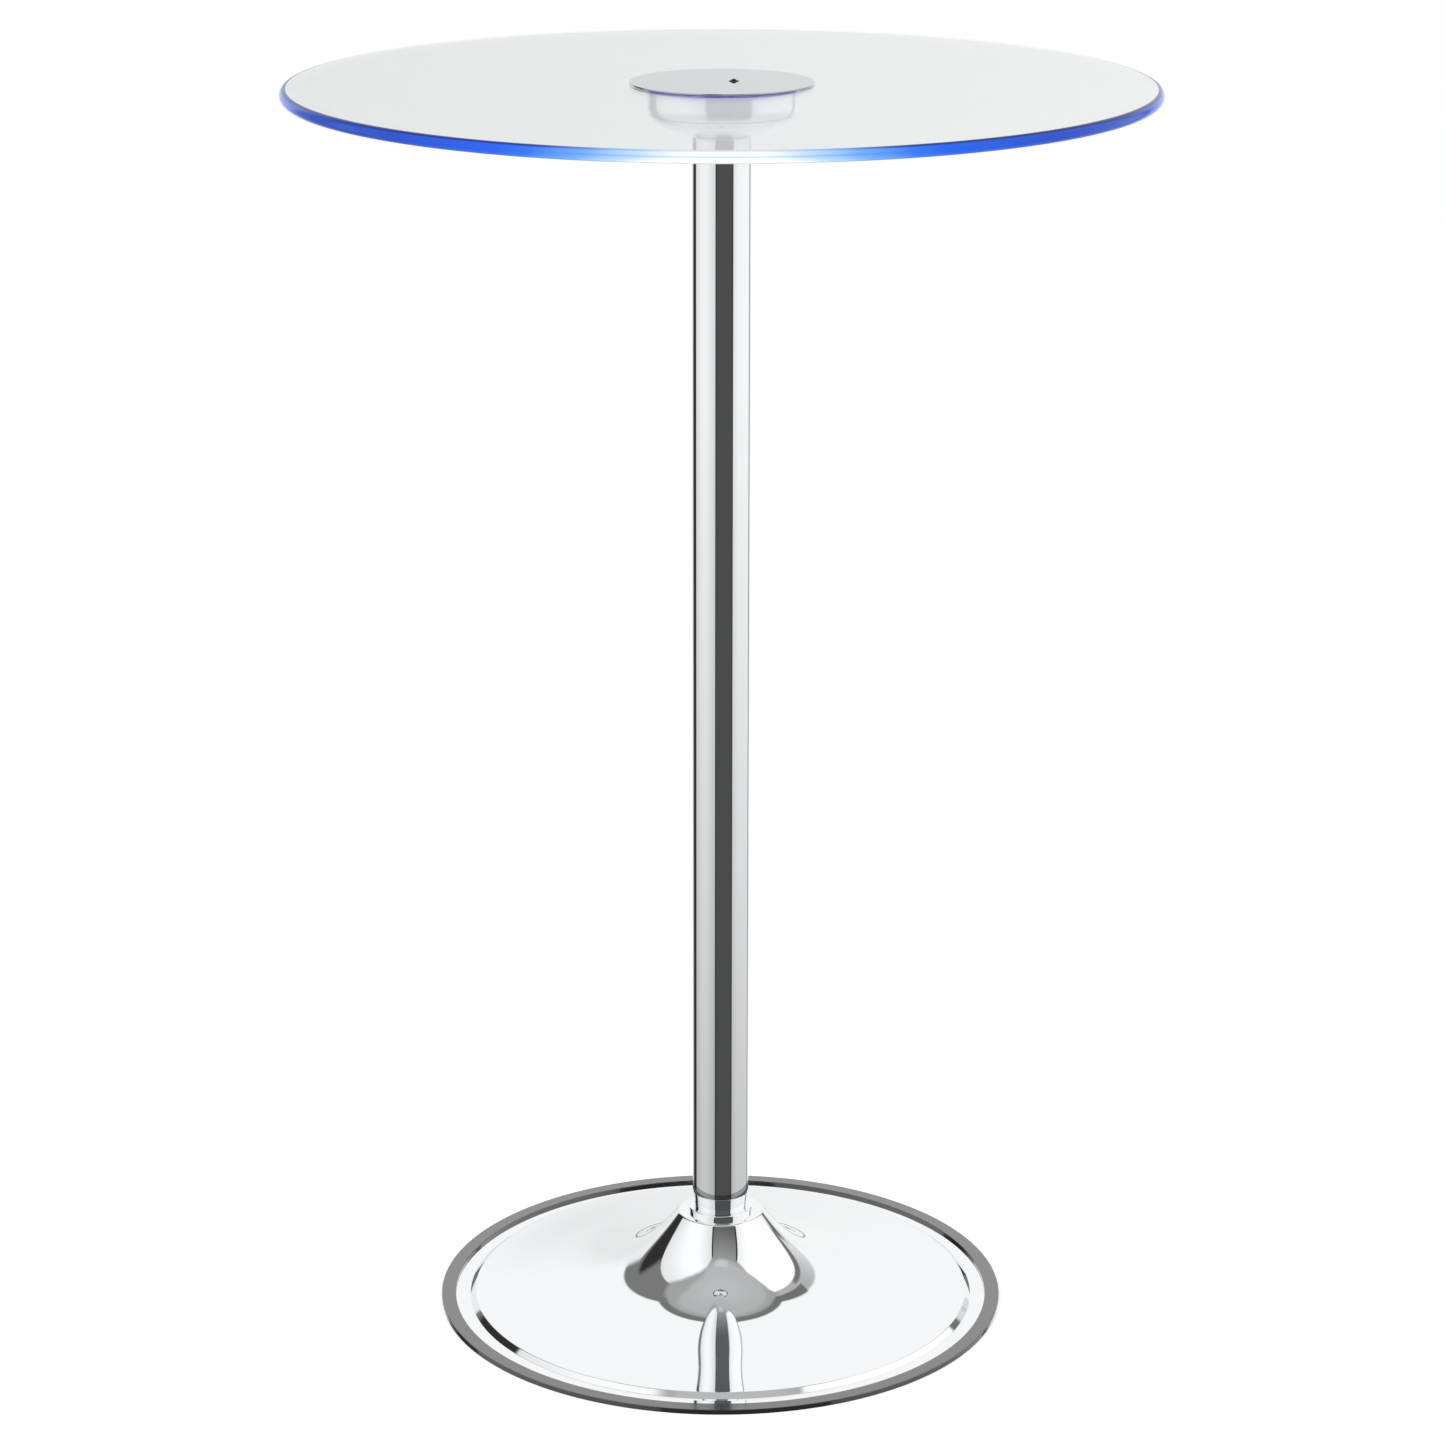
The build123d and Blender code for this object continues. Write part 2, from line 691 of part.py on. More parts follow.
with BuildPart() as glass_top:
    with BuildSketch(Plane.XZ):
        with Locations((glass_radius - glass_thickness / 2, glass_middle)):
            Circle(glass_thickness / 2)
        with Locations((glass_hole_radius, glass_middle)):
            Rectangle(
                glass_radius - glass_thickness / 2 - glass_hole_radius,
                glass_thickness,
                align=(Align.MIN, Align.CENTER),
            )
    revolve(axis=Axis.Z)
    hole_edges = glass_top.edges().filter_by(GeomType.CIRCLE).sort_by(SortBy.RADIUS)[:2]
    chamfer(hole_edges, length=glass_hole_arris)
save(glass_top.part, "glass_top")

# Cover plate that lifts off for the battery cells, with its gasket and spigot ring
with BuildPart() as cover_plate:
    with BuildSketch(Plane.XY.offset(cover_bottom)):
        Circle(cover_radius)
        with Locations((receiver_x, 0)):
            Circle(pipe_radius + running, mode=Mode.SUBTRACT)
    extrude(amount=cover_thickness)
    cover_edges = cover_plate.edges().filter_by(GeomType.CIRCLE).sort_by(SortBy.RADIUS)[-2:]
    fillet(cover_edges, radius=cover_thickness * cover_edge_share)
save(cover_plate.part, "cover_plate")

cover_gasket_outer = cover_radius - cover_gasket_inset
cover_gasket_inner = cover_gasket_outer - cover_gasket_width
save(ring(cover_gasket_inner, cover_gasket_outer, table_height, cover_gasket_thickness), "cover_gasket")

with BuildPart() as cover_spigot:
    with BuildSketch(Plane.XY.offset(cover_spigot_bottom)):
        Circle(cover_spigot_outer)
        Circle(cover_spigot_outer - cover_spigot_wall, mode=Mode.SUBTRACT)
    extrude(amount=cover_spigot_height)
    with BuildSketch(Plane.XY.offset(cover_spigot_bottom)):
        for turn in (0, 45, 90, 135):
            Rectangle(2 * carrier_outside, cover_spigot_slot, rotation=turn)
    extrude(amount=cover_spigot_height / 2, mode=Mode.SUBTRACT)
save(cover_spigot.part, "cover_spigot")

# Control board, the parts on it and the screws that hold it
with BuildPart() as control_board:
    with BuildSketch(Plane.XY.offset(board_bottom)):
        Circle(board_radius)
        with PolarLocations(board_screw_circle, board_screw_count, start_angle=board_screw_turn):
            Circle(board_screw_radius + running, mode=Mode.SUBTRACT)
    extrude(amount=board_thickness)
save(control_board.part, "control_board")

with BuildPart() as board_parts:
    with BuildSketch(Plane.XY.offset(board_top)):
        for turn in (0, 90, 180):
            with PolarLocations(connector_centre, 1, start_angle=turn):
                Rectangle(connector_length, connector_width)
        with Locations((-board_radius * chip_share, -board_radius * chip_share)):
            Circle(capacitor_radius)
    extrude(amount=board_parts_height)
    with BuildSketch(Plane.XY.offset(board_top)):
        with Locations((board_radius * chip_share, -board_radius * chip_share)):
            Rectangle(chip_size, chip_size)
    extrude(amount=chip_height)
save(board_parts.part, "board_parts")

with BuildPart() as board_screws:
    with BuildSketch(Plane.XY.offset(board_top)):
        with PolarLocations(board_screw_circle, board_screw_count, start_angle=board_screw_turn):
            Circle(board_screw_radius)
    extrude(amount=-board_screw_length)
    with BuildSketch(Plane.XY.offset(board_top)):
        with PolarLocations(board_screw_circle, board_screw_count, start_angle=board_screw_turn):
            Circle(board_screw_head_radius)
    extrude(amount=board_screw_head_height)
save(board_screws.part, "board_screws")

# Remote receiver, and the light pipe whose dome shows in the cover plate
with BuildPart() as remote_receiver:
    with BuildSketch(Plane.XY.offset(board_top)):
        with Locations((receiver_x, 0)):
            Rectangle(receiver_width, receiver_depth)
    extrude(amount=receiver_height)
save(remote_receiver.part, "remote_receiver")

with BuildPart() as light_pipe:
    pipe_shoulder = cover_top + pipe_proud - pipe_radius
    with BuildSketch(Plane.XY.offset(receiver_top)):
        with Locations((receiver_x, 0)):
            Circle(pipe_radius)
    extrude(amount=pipe_shoulder - receiver_top)
    with Locations((receiver_x, 0, pipe_shoulder)):
        Sphere(pipe_radius, arc_size1=0, align=(Align.CENTER, Align.CENTER, Align.MIN))
save(light_pipe.part, "light_pipe")

# Battery tray: two bays with round seats, and a channel between them for the light pipe
with BuildPart() as battery_tray:
    with BuildSketch(Plane.XY.offset(tray_bottom)):
        RectangleRounded(2 * tray_half_length, 2 * tray_half_width, tray_corner_radius)
    extrude(amount=tray_top - tray_bottom)
    with BuildSketch(Plane.YZ.offset(-bay_half_length)):
        for side in (-1, 1):
            for row in (first_cell, second_cell):
                with Locations((side * row, cell_axis)):
                    Circle(cell_seat)
            with Locations((side * (first_cell + second_cell) / 2, cell_axis)):
                Rectangle(cell_pitch + 2 * cell_seat, 2 * cell_seat, align=(Align.CENTER, Align.MIN))
    extrude(amount=2 * bay_half_length, mode=Mode.SUBTRACT)
    with BuildSketch(Plane.XY.offset(cell_axis - contact_height / 2 - cell_play)):
        for side in (-1, 1):
            with Locations((0, side * (first_cell + second_cell) / 2)):
                Rectangle(2 * bay_half_length, contact_width + 2 * cell_play)
                Rectangle(cell_length, contact_width + 2 * cell_play + fit, mode=Mode.SUBTRACT)
    extrude(amount=contact_height, mode=Mode.SUBTRACT)
    with BuildSketch(Plane.XY.offset(tray_bottom + tray_wall)):
        Rectangle(2 * bay_half_length, channel_width)
    extrude(amount=tray_top, mode=Mode.SUBTRACT)
    with BuildSketch(Plane.XY.offset(tray_bottom)):
        with Locations((receiver_x, 0)):
            Rectangle(receiver_width + 2 * tray_wall, channel_width)
    extrude(amount=tray_top, mode=Mode.SUBTRACT)
    with BuildSketch(Plane.XY.offset(carrier_floor_top)):
        with GridLocations(2 * tray_leg_x, 2 * tray_leg_y, 2, 2):
            Circle(tray_leg_radius)
    extrude(amount=tray_bottom - carrier_floor_top)
save(battery_tray.part, "battery_tray")

# Contact plates with their pressed bumps, at both ends of both bays
with BuildPart() as battery_contacts:
    for end in (-1, 1):
        plate_centre = (end * bay_half_length, 0, cell_axis)
        plate_plane = Plane(origin=plate_centre, x_dir=(0, 1, 0), z_dir=(-end, 0, 0))
        with BuildSketch(plate_plane):
            for side in (-1, 1):
                with Locations((side * (first_cell + second_cell) / 2, 0)):
                    Rectangle(contact_width, contact_height)
        extrude(amount=contact_thickness)
        with BuildSketch(plate_plane.offset(contact_thickness)):
            for row in (-second_cell, -first_cell, first_cell, second_cell):
                with Locations((row, 0)):
                    Circle(contact_bump_radius)
        extrude(amount=contact_bump_height, taper=15)
save(battery_contacts.part, "battery_contacts")

# Battery cells, laid head to tail
for number, row in enumerate((-second_cell, -first_cell, first_cell, second_cell), start=1):
    head = 1 if number % 2 else -1
    end_plane = Plane(origin=(-head * cell_length / 2, row, cell_axis), z_dir=(head, 0, 0))
    with BuildPart() as battery_cell:
        with BuildSketch(end_plane):
            Circle(cell_radius)
        extrude(amount=cell_length - cell_nub_height)
        fillet(battery_cell.edges().filter_by(GeomType.CIRCLE), radius=cell_corner_radius)
        with BuildSketch(end_plane.offset(cell_length - cell_nub_height)):
            Circle(cell_nub_radius)
        extrude(amount=cell_nub_height)
    save(battery_cell.part, f"battery_cell_{number}")

# Power button in the back of the bowl's wall, and its switch
with BuildPart() as switch_bezel:
    with BuildSketch(button_plane):
        Circle(bezel_radius)
        Circle(barrel_bore, mode=Mode.SUBTRACT)
    extrude(amount=bezel_face - bowl_inside)
    with BuildSketch(Plane.XY.offset(corner_height - overrun)):
        Circle(bowl_radius + fit)
    extrude(amount=bowl_wall_height + overrun, mode=Mode.SUBTRACT)
    with BuildSketch(Plane(origin=(0, barrel_end, button_z), z_dir=(0, 1, 0))):
        Circle(barrel_radius)
        Circle(barrel_bore, mode=Mode.SUBTRACT)
    extrude(amount=bezel_face - barrel_end)
save(switch_bezel.part, "switch_bezel")

with BuildPart() as switch_nut:
    with BuildSketch(Plane(origin=(0, nut_face, button_z), z_dir=(0, 1, 0))):
        RegularPolygon(radius=switch_nut_radius, side_count=6, major_radius=False, rotation=30)
        Circle(barrel_radius + fit, mode=Mode.SUBTRACT)
    extrude(amount=-switch_nut_thickness)
save(switch_nut.part, "switch_nut")

with BuildPart() as switch_body:
    with BuildSketch(Plane(origin=(0, switch_end, button_z), z_dir=(0, 1, 0))):
        RectangleRounded(switch_size, switch_size, switch_corner_radius)
    extrude(amount=barrel_end - switch_end)
save(switch_body.part, "switch_body")

with BuildPart() as power_button:
    with BuildSketch(Plane(origin=(0, button_back, button_z), z_dir=(0, 1, 0))):
        Circle(button_radius)
    extrude(amount=button_face - button_back)
    fillet(power_button.edges().sort_by(Axis.Y)[-1], radius=button_radius * button_crown_share)
save(power_button.part, "power_button")


def lead(name, *route):
    """A round lead along straight runs that meet in equal arcs."""
    with BuildPart() as piece:
        with BuildLine() as path:
            FilletPolyline(*route, radius=lead_bend_radius)
        with BuildSketch(Plane(origin=path.line @ 0, z_dir=path.line % 0)):
            Circle(lead_radius)
        sweep(path=path.line)
    save(piece.part, name)


# Leads from the tray, the lamps and the switch to the board's connectors
lead(
    "battery_lead",
    (-tray_half_length, 0, tray_lead_height),
    (-tray_half_length - lead_slack, 0, tray_lead_height),
    (-tray_half_length - lead_slack, 0, lead_height),
    (-connector_face, 0, lead_height),
)
lead(
    "lamp_lead",
    (connector_face, 0, lead_height),
    (gutter_x, 0, lead_height),
    (gutter_x, 0, lamp_lead_height),
    (carrier_outside, 0, lamp_lead_height),
)
lead(
    "switch_lead",
    (0, connector_face, lead_height),
    (0, gutter_y, lead_height),
    (0, gutter_y, button_z),
    (0, switch_end, button_z),
)
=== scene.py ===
# %% [markdown]
# # A glass table that lights up at its edge
#
# The table is a round sheet of clear glass on a chromed column, with a trumpet-shaped chromed
# base. A lamp unit in the middle of the glass shines outwards through it, and the light comes
# out at the rounded edge.
#
# Nearly everything that shows is polished, so this lesson is mostly about two things: surfaces
# with very even normals, and a studio that gives them something good to reflect.

# %% Load the fixed frame
import json
import math

import bpy
import numpy as np
from mathutils import Matrix, Vector

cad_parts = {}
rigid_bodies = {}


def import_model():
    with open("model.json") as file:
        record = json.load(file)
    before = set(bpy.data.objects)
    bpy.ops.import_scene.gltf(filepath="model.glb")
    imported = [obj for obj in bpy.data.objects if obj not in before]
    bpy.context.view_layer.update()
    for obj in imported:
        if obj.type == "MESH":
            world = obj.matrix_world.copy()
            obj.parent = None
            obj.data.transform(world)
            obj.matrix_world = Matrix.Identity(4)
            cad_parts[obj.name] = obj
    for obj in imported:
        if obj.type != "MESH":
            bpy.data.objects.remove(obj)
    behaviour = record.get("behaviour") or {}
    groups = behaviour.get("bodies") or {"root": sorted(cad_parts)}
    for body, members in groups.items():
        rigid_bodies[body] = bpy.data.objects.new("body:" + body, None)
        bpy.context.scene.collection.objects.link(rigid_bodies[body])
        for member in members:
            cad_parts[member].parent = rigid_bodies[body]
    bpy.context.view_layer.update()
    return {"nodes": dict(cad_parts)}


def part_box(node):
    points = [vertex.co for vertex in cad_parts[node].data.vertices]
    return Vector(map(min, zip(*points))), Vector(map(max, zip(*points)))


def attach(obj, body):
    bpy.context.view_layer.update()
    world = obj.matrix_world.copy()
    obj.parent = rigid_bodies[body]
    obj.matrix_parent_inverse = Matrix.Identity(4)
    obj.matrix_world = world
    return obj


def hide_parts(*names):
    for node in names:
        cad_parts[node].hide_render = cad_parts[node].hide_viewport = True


for leftover in list(bpy.data.objects):
    bpy.data.objects.remove(leftover)

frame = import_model()
cad = frame["nodes"]

# %% [markdown]
# ## Sizes from the frame
#
# Every piece in the frame already has its real size and place. A size that a fine mesh needs
# could be typed again here, but then it would go stale when the frame changes. So each one is
# read from the corners of the piece it belongs to, and only what a corner can't tell, such as
# a bend radius, is written as a number in metres.


# %% Read the corners of a piece
def reach(node):
    """How far a round piece reaches from the table's axis."""
    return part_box(node)[1].x


def bottom(node):
    """The height of a piece's lowest point."""
    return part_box(node)[0].z


def top(node):
    """The height of a piece's highest point."""
    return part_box(node)[1].z


sheet_thickness = 0.001
print("glass reaches", round(reach("glass_top"), 4), "top at", round(top("glass_top"), 4))

# %% [markdown]
# ## A lathe for polished pieces
#
# The column, the base, the bowl and the glass are all turned or spun, so each one is a profile
# carried round the axis. A Screw modifier could do it, but a mesh written ring by ring keeps
# every quad in step with its neighbours, and even quads give even normals. A mirror finish
# shows the smallest wobble in them.
#
# A profile is a list of (radius, height) points. Helpers draw its round stretches and its
# corners, so that no profile is a long list of numbers.


# %% Profile helpers
def arc(centre, radius, start, end, steps):
    """Points on an arc in the profile's plane, from one angle in degrees to another."""
    angles = np.radians(np.linspace(start, end, steps + 1))
    return [(centre[0] + radius * math.cos(a), centre[1] + radius * math.sin(a)) for a in angles]


def rounded(corners, radii, steps=8):
    """A profile through these corners, each rounded to its radius. A radius of zero stays sharp."""
    points = []
    count = len(corners)
    for index, (corner, radius) in enumerate(zip(corners, radii)):
        here = Vector(corner)
        before = (Vector(corners[index - 1]) - here).normalized()
        after = (Vector(corners[(index + 1) % count]) - here).normalized()
        if not radius:
            points.append(tuple(here))
            continue
        half = before.angle(after) / 2
        centre = here + (before + after).normalized() * radius / math.sin(half)
        start = here + before * radius / math.tan(half) - centre
        end = here + after * radius / math.tan(half) - centre
        for step in range(steps + 1):
            turn = start.slerp(end, step / steps).normalized()
            points.append(tuple(centre + radius * turn))
    return points


def rectangle(inner, outer, low, high):
    """The four corners of a ring's section."""
    return [(inner, low), (outer, low), (outer, high), (inner, high)]


print("a quarter round of 8 steps has", len(arc((0, 0), 1, 0, 90, 8)), "points")

# %% [markdown]
# ## Carrying the profile round
#
# Blender's own Spin tool would also do this, but it works on a selection in edit mode. Here the
# rings are written directly. A long straight stretch gets a ring close to both of its ends,
# because a smooth normal is shared by the faces on both sides, and a rounding would otherwise
# bend the normals of the whole stretch beside it. After that the normals are turned outwards
# and only true arrises stay sharp.

# %% Rings beside the bends
ring_steps = 384
sharp_angle = math.radians(40)
long_stretch, hold_margin = 0.0025, 0.00025


def held(profile):
    """Add a point close to both ends of each long straight stretch."""
    points = []
    for start, end in zip(profile, profile[1:] + profile[:1]):
        points.append(start)
        length = math.dist(start, end)
        if length > long_stretch:
            for share in (hold_margin / length, 1 - hold_margin / length):
                points.append(tuple(a + (b - a) * share for a, b in zip(start, end)))
    return points


print("a straight stretch gets", len(held([(0, 0), (1, 0)])) // 2 - 1, "more points")


# %% The lathe
def add_object(name, data):
    """Put new data into the scene as an object."""
    made = bpy.data.objects.new(name, data)
    bpy.context.scene.collection.objects.link(made)
    return made


def lathe(name, profile, steps=ring_steps):
    """Carry a closed profile round the axis."""
    profile = held(profile)
    turns = [2 * math.pi * step / steps for step in range(steps)]
    vertices = [(r * math.cos(t), r * math.sin(t), height) for r, height in profile for t in turns]
    faces = []
    for ring in range(len(profile)):
        lower, upper = ring * steps, (ring + 1) % len(profile) * steps
        for step in range(steps):
            after = (step + 1) % steps
            faces.append((lower + step, lower + after, upper + after, upper + step))
    mesh = bpy.data.meshes.new(name)
    mesh.from_pydata(vertices, [], faces)
    piece = add_object(name, mesh)
    tidy_normals(piece)
    return piece


def tidy_normals(piece):
    """Turn all faces outwards, shade them smooth, and keep the real arrises sharp."""
    bpy.context.view_layer.objects.active = piece
    piece.select_set(True)
    bpy.ops.object.mode_set(mode="EDIT")
    bpy.ops.mesh.select_all(action="SELECT")
    bpy.ops.mesh.normals_make_consistent(inside=False)
    bpy.ops.object.mode_set(mode="OBJECT")
    piece.select_set(False)
    piece.data.shade_smooth()
    piece.data.set_sharp_from_angle(angle=sharp_angle)


print("the lathe makes", ring_steps, "steps round the axis")

# %% [markdown]
# ## Taking a node's place
#
# A turned piece is the same part as a CAD node, only finer. The node could stay hidden inside
# it, but then both would be in the model. So the piece takes the node's body, and the node is
# left out. The piece is dressed at the same time, with one finish or, like the glass, with
# several.


# %% Stand in for a node
def stands_for(piece, node, body, slot, *finishes):
    """Dress the piece, and give it a CAD node's place and body. The slot argument is not used."""
    for finish in finishes:
        piece.data.materials.append(finish)
    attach(piece, body)
    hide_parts(node)
    print(piece.name, "stands for", node, "with", len(piece.data.polygons), "faces")


print("nodes that the lathe may replace:", len(cad))

# %% [markdown]
# ## Building materials from nodes
#
# Each finish is a small node tree. It could be wired by hand in the editor, but in code a few
# helpers keep the trees short and readable: one adds a node with its settings and inputs, and
# one makes a group with named sockets. What several finishes share, such as the faint marks of
# handling, is a group, and the shader itself always stays in the material.


# %% Helpers for nodes
def fill(socket, value):
    """Give a socket a plain value, or link it to the output of another node."""
    if isinstance(value, bpy.types.NodeSocket):
        socket.id_data.links.new(value, socket)
    else:
        socket.default_value = value


def put(tree, kind, options=None, inputs=None):
    """Add one node with its options, and fill its inputs."""
    made = tree.nodes.new("ShaderNode" + kind)
    for name, value in (options or {}).items():
        setattr(made, name, value)
    for name, value in (inputs or {}).items():
        fill(made.inputs[name], value)
    return made


def math_node(tree, operation, first, second=0.0):
    """The output of one Math node."""
    return put(tree, "Math", {"operation": operation}, {0: first, 1: second}).outputs[0]


def times(tree, first, second):
    """The product of two values."""
    return math_node(tree, "MULTIPLY", first, second)


def between(tree, value, low, high, start=0.0, end=1.0):
    """A smooth step: start below low, end above high."""
    inputs = {"Value": value, "From Min": low, "From Max": high, "To Min": start, "To Max": end}
    return put(tree, "MapRange", {"interpolation_type": "SMOOTHSTEP"}, inputs).outputs[0]


def spread(tree, value, low, high, start=0.0, end=1.0):
    """A straight change from start to end, held beyond low and high."""
    inputs = {"Value": value, "From Min": low, "From Max": high, "To Min": start, "To Max": end}
    return put(tree, "MapRange", {"clamp": True}, inputs).outputs[0]


print("node helpers ready")


# %% Helpers for colours and places
def ramp(tree, value, stops):
    """A colour ramp through (place, colour) stops."""
    made = put(tree, "ValToRGB", inputs={"Fac": value})
    band = made.color_ramp
    while len(band.elements) < len(stops):
        band.elements.new(0.5)
    for element, (place, colour) in zip(band.elements, stops):
        element.position = place
        element.color = (*colour, 1)
    return made.outputs["Color"]


def mixed(tree, factor, first, second, blend="MIX"):
    """The output of a Mix node between two colours."""
    options = {"data_type": "RGBA", "blend_type": blend}
    return put(tree, "Mix", options, {"Factor": factor, 6: first, 7: second}).outputs[2]


def place_in(tree):
    """The place of the shaded point in the frame."""
    return put(tree, "TexCoord").outputs["Object"]


def height_in(tree):
    """The height of the shaded point above the floor."""
    return put(tree, "SeparateXYZ", inputs={0: place_in(tree)}).outputs["Z"]


def noise(tree, place, scale, detail):
    """A noise between 0 and 1 over the places."""
    inputs = {"Vector": place, "Scale": scale, "Detail": detail}
    return put(tree, "TexNoise", inputs=inputs).outputs[0]


print("colour and place helpers ready")

# %% [markdown]
# ## Groups and materials
#
# A group is a small tree with named sockets that many materials can share. Its sockets are made
# through the group's interface. A new material already comes with a Principled shader, so the
# helpers only hand it out and fill its sockets by name.


# %% Helpers for groups and materials
def new_group(name, inputs, outputs):
    """An empty shader group with named sockets, and its two end nodes."""
    group = bpy.data.node_groups.new(name, "ShaderNodeTree")
    for label, kind, value in inputs:
        socket = group.interface.new_socket(label, in_out="INPUT", socket_type="NodeSocket" + kind)
        socket.default_value = value
    for label, kind in outputs:
        group.interface.new_socket(label, in_out="OUTPUT", socket_type="NodeSocket" + kind)
    return group, group.nodes.new("NodeGroupInput"), group.nodes.new("NodeGroupOutput")


def settings(node, **values):
    """Fill a node's sockets by name."""
    for name, value in values.items():
        fill(node.inputs[name.replace("_", " ").title().replace("Ior", "IOR")], value)


def use_group(tree, group, **values):
    """Place a group in a material with its own values, and hand out its outputs."""
    made = tree.nodes.new("ShaderNodeGroup")
    made.node_tree = group
    settings(made, **values)
    return made.outputs


def new_material(name):
    """A material with one Principled shader. Returns the material, its tree and the shader."""
    material = bpy.data.materials.new(name)
    material.use_nodes = True
    tree = material.node_tree
    return material, tree, tree.nodes["Principled BSDF"]


print("group and material helpers ready")

# %% [markdown]
# ## What hands and cloths leave
#
# A polished piece is never quite even: wiping leaves faint hairlines, and fingers leave soft
# patches that are a touch duller. A scratch picture could be laid over it, but a picture needs
# UVs and repeats. Two noises in the object's own space need neither. One is stretched into
# fine lines, the other is broad and soft, and together they give a mask for the roughness and
# a height for a very shallow bump.

# %% Group: handling marks
marks, marks_in, marks_out = new_group(
    "Handling marks",
    [("Scale", "Float", 1.0), ("Smudges", "Float", 0.5)],
    [("Mask", "Float"), ("Height", "Float")],
)
place = place_in(marks)
stretched = put(marks, "Mapping", inputs={"Vector": place, "Scale": (40, 40, 900)}).outputs[0]
fine_lines = between(marks, noise(marks, stretched, 1.0, 3.0), 0.55, 0.75)
smudge_scale = times(marks, marks_in.outputs["Scale"], 14.0)
patches = between(marks, noise(marks, place, smudge_scale, 4.0), 0.5, 0.72)
soft = times(marks, patches, marks_in.outputs["Smudges"])
both = math_node(marks, "MAXIMUM", soft, times(marks, fine_lines, 0.6))
settings(marks_out, mask=both, height=fine_lines)


def worn(tree, low, high, **amounts):
    """A roughness that the marks lift from low to high, and the height of the marks."""
    traces = use_group(tree, marks, **amounts)
    return spread(tree, traces["Mask"], 0.0, 1.0, low, high), traces["Height"]


print("group:", marks.name)

# %% [markdown]
# ## The grain of moulds, castings and paint
#
# Moulded plastic, cast iron, powder paint and rubber all have a fine pebbled face. Only its
# size and depth differ, so one group serves them all: a noise for the grain and a slower one
# that lets the colour drift a little.

# %% Group: surface grain
grain, grain_in, grain_out = new_group(
    "Surface grain",
    [("Scale", "Float", 800.0), ("Drift", "Float", 0.1), ("Colour", "Color", (0.5, 0.5, 0.5, 1))],
    [("Height", "Float"), ("Colour", "Color"), ("Mask", "Float")],
)
place = place_in(grain)
pebble = noise(grain, place, grain_in.outputs["Scale"], 4.0)
slow = noise(grain, place, 35.0, 3.0)
shade = math_node(grain, "SUBTRACT", slow, 0.5)
shade = times(grain, shade, grain_in.outputs["Drift"])
shade = math_node(grain, "ADD", shade, 1.0)
shaded = put(
    grain, "VectorMath", {"operation": "SCALE"}, {0: grain_in.outputs["Colour"], "Scale": shade}
)
rubbed = between(grain, slow, 0.35, 0.7)
settings(grain_out, height=pebble, colour=shaded.outputs[0], mask=rubbed)
print("group:", grain.name)

# %% [markdown]
# ## Dust that settles
#
# Dust lies on what faces up. The mask takes the upward part of the surface's normal and breaks
# it up with two noises, a cloudy one and a speckled one. A light hand matters here: on a new
# table it only takes the perfect edge off the black ring.

# %% Group: settled dust
dust, dust_in, dust_out = new_group("Settled dust", [("Amount", "Float", 0.2)], [("Mask", "Float")])
place = place_in(dust)
normal = put(dust, "NewGeometry").outputs["Normal"]
upward = put(dust, "SeparateXYZ", inputs={0: normal}).outputs["Z"]
flat_top = between(dust, upward, 0.35, 1.0)
clouds = between(dust, noise(dust, place, 18.0, 5.0), 0.35, 0.75)
specks = between(dust, noise(dust, place, 1400.0, 2.0), 0.5, 0.7)
broken = times(dust, clouds, specks)
lying = times(dust, broken, flat_top)
lying = times(dust, lying, dust_in.outputs["Amount"])
settings(dust_out, mask=lying)
print("group:", dust.name)

# %% [markdown]
# ## Chrome
#
# Chrome plate is a thin, hard, slightly blue metal over polished nickel. It has almost no
# colour of its own, so the base colour is close to white with a hint of blue, and everything
# else is reflection. The handling marks only lift the roughness from a mirror's to a wiped
# mirror's.


# %% Chrome finishes
def chrome_finish(name, colour, roughness, wiped, smudges=0.5):
    """Polished plate whose marks lie between two roughnesses."""
    material, tree, shader = new_material(name)
    rough, height = worn(tree, roughness, wiped, scale=1.0, smudges=smudges)
    bump = put(tree, "Bump", inputs={"Strength": 0.02, "Distance": 2e-5, "Height": height})
    settings(shader, base_color=(*colour, 1), metallic=1.0, roughness=rough, normal=bump.outputs[0])
    return material


chrome = chrome_finish("polished_chrome", (0.93, 0.94, 0.95), 0.02, 0.05)
base_chrome = chrome_finish("spun_chrome", (0.93, 0.94, 0.95), 0.03, 0.08)
# Painted shade: the cover plate gets a darker copy of the chrome, so that it reads darker.
shaded_cover_chrome = chrome_finish("shaded_cover_chrome", (0.53, 0.57, 0.61), 0.06, 0.12)
bowl_chrome = chrome_finish("bowl_chrome", (0.96, 0.95, 1.0), 0.15, 0.22)
zinced_steel = chrome_finish("zinced_steel", (0.66, 0.67, 0.64), 0.28, 0.42, 1.0)
spring_contact = chrome_finish("nickel_spring", (0.72, 0.69, 0.62), 0.16, 0.3)
print("metals:", chrome.name, base_chrome.name, shaded_cover_chrome.name, bowl_chrome.name)
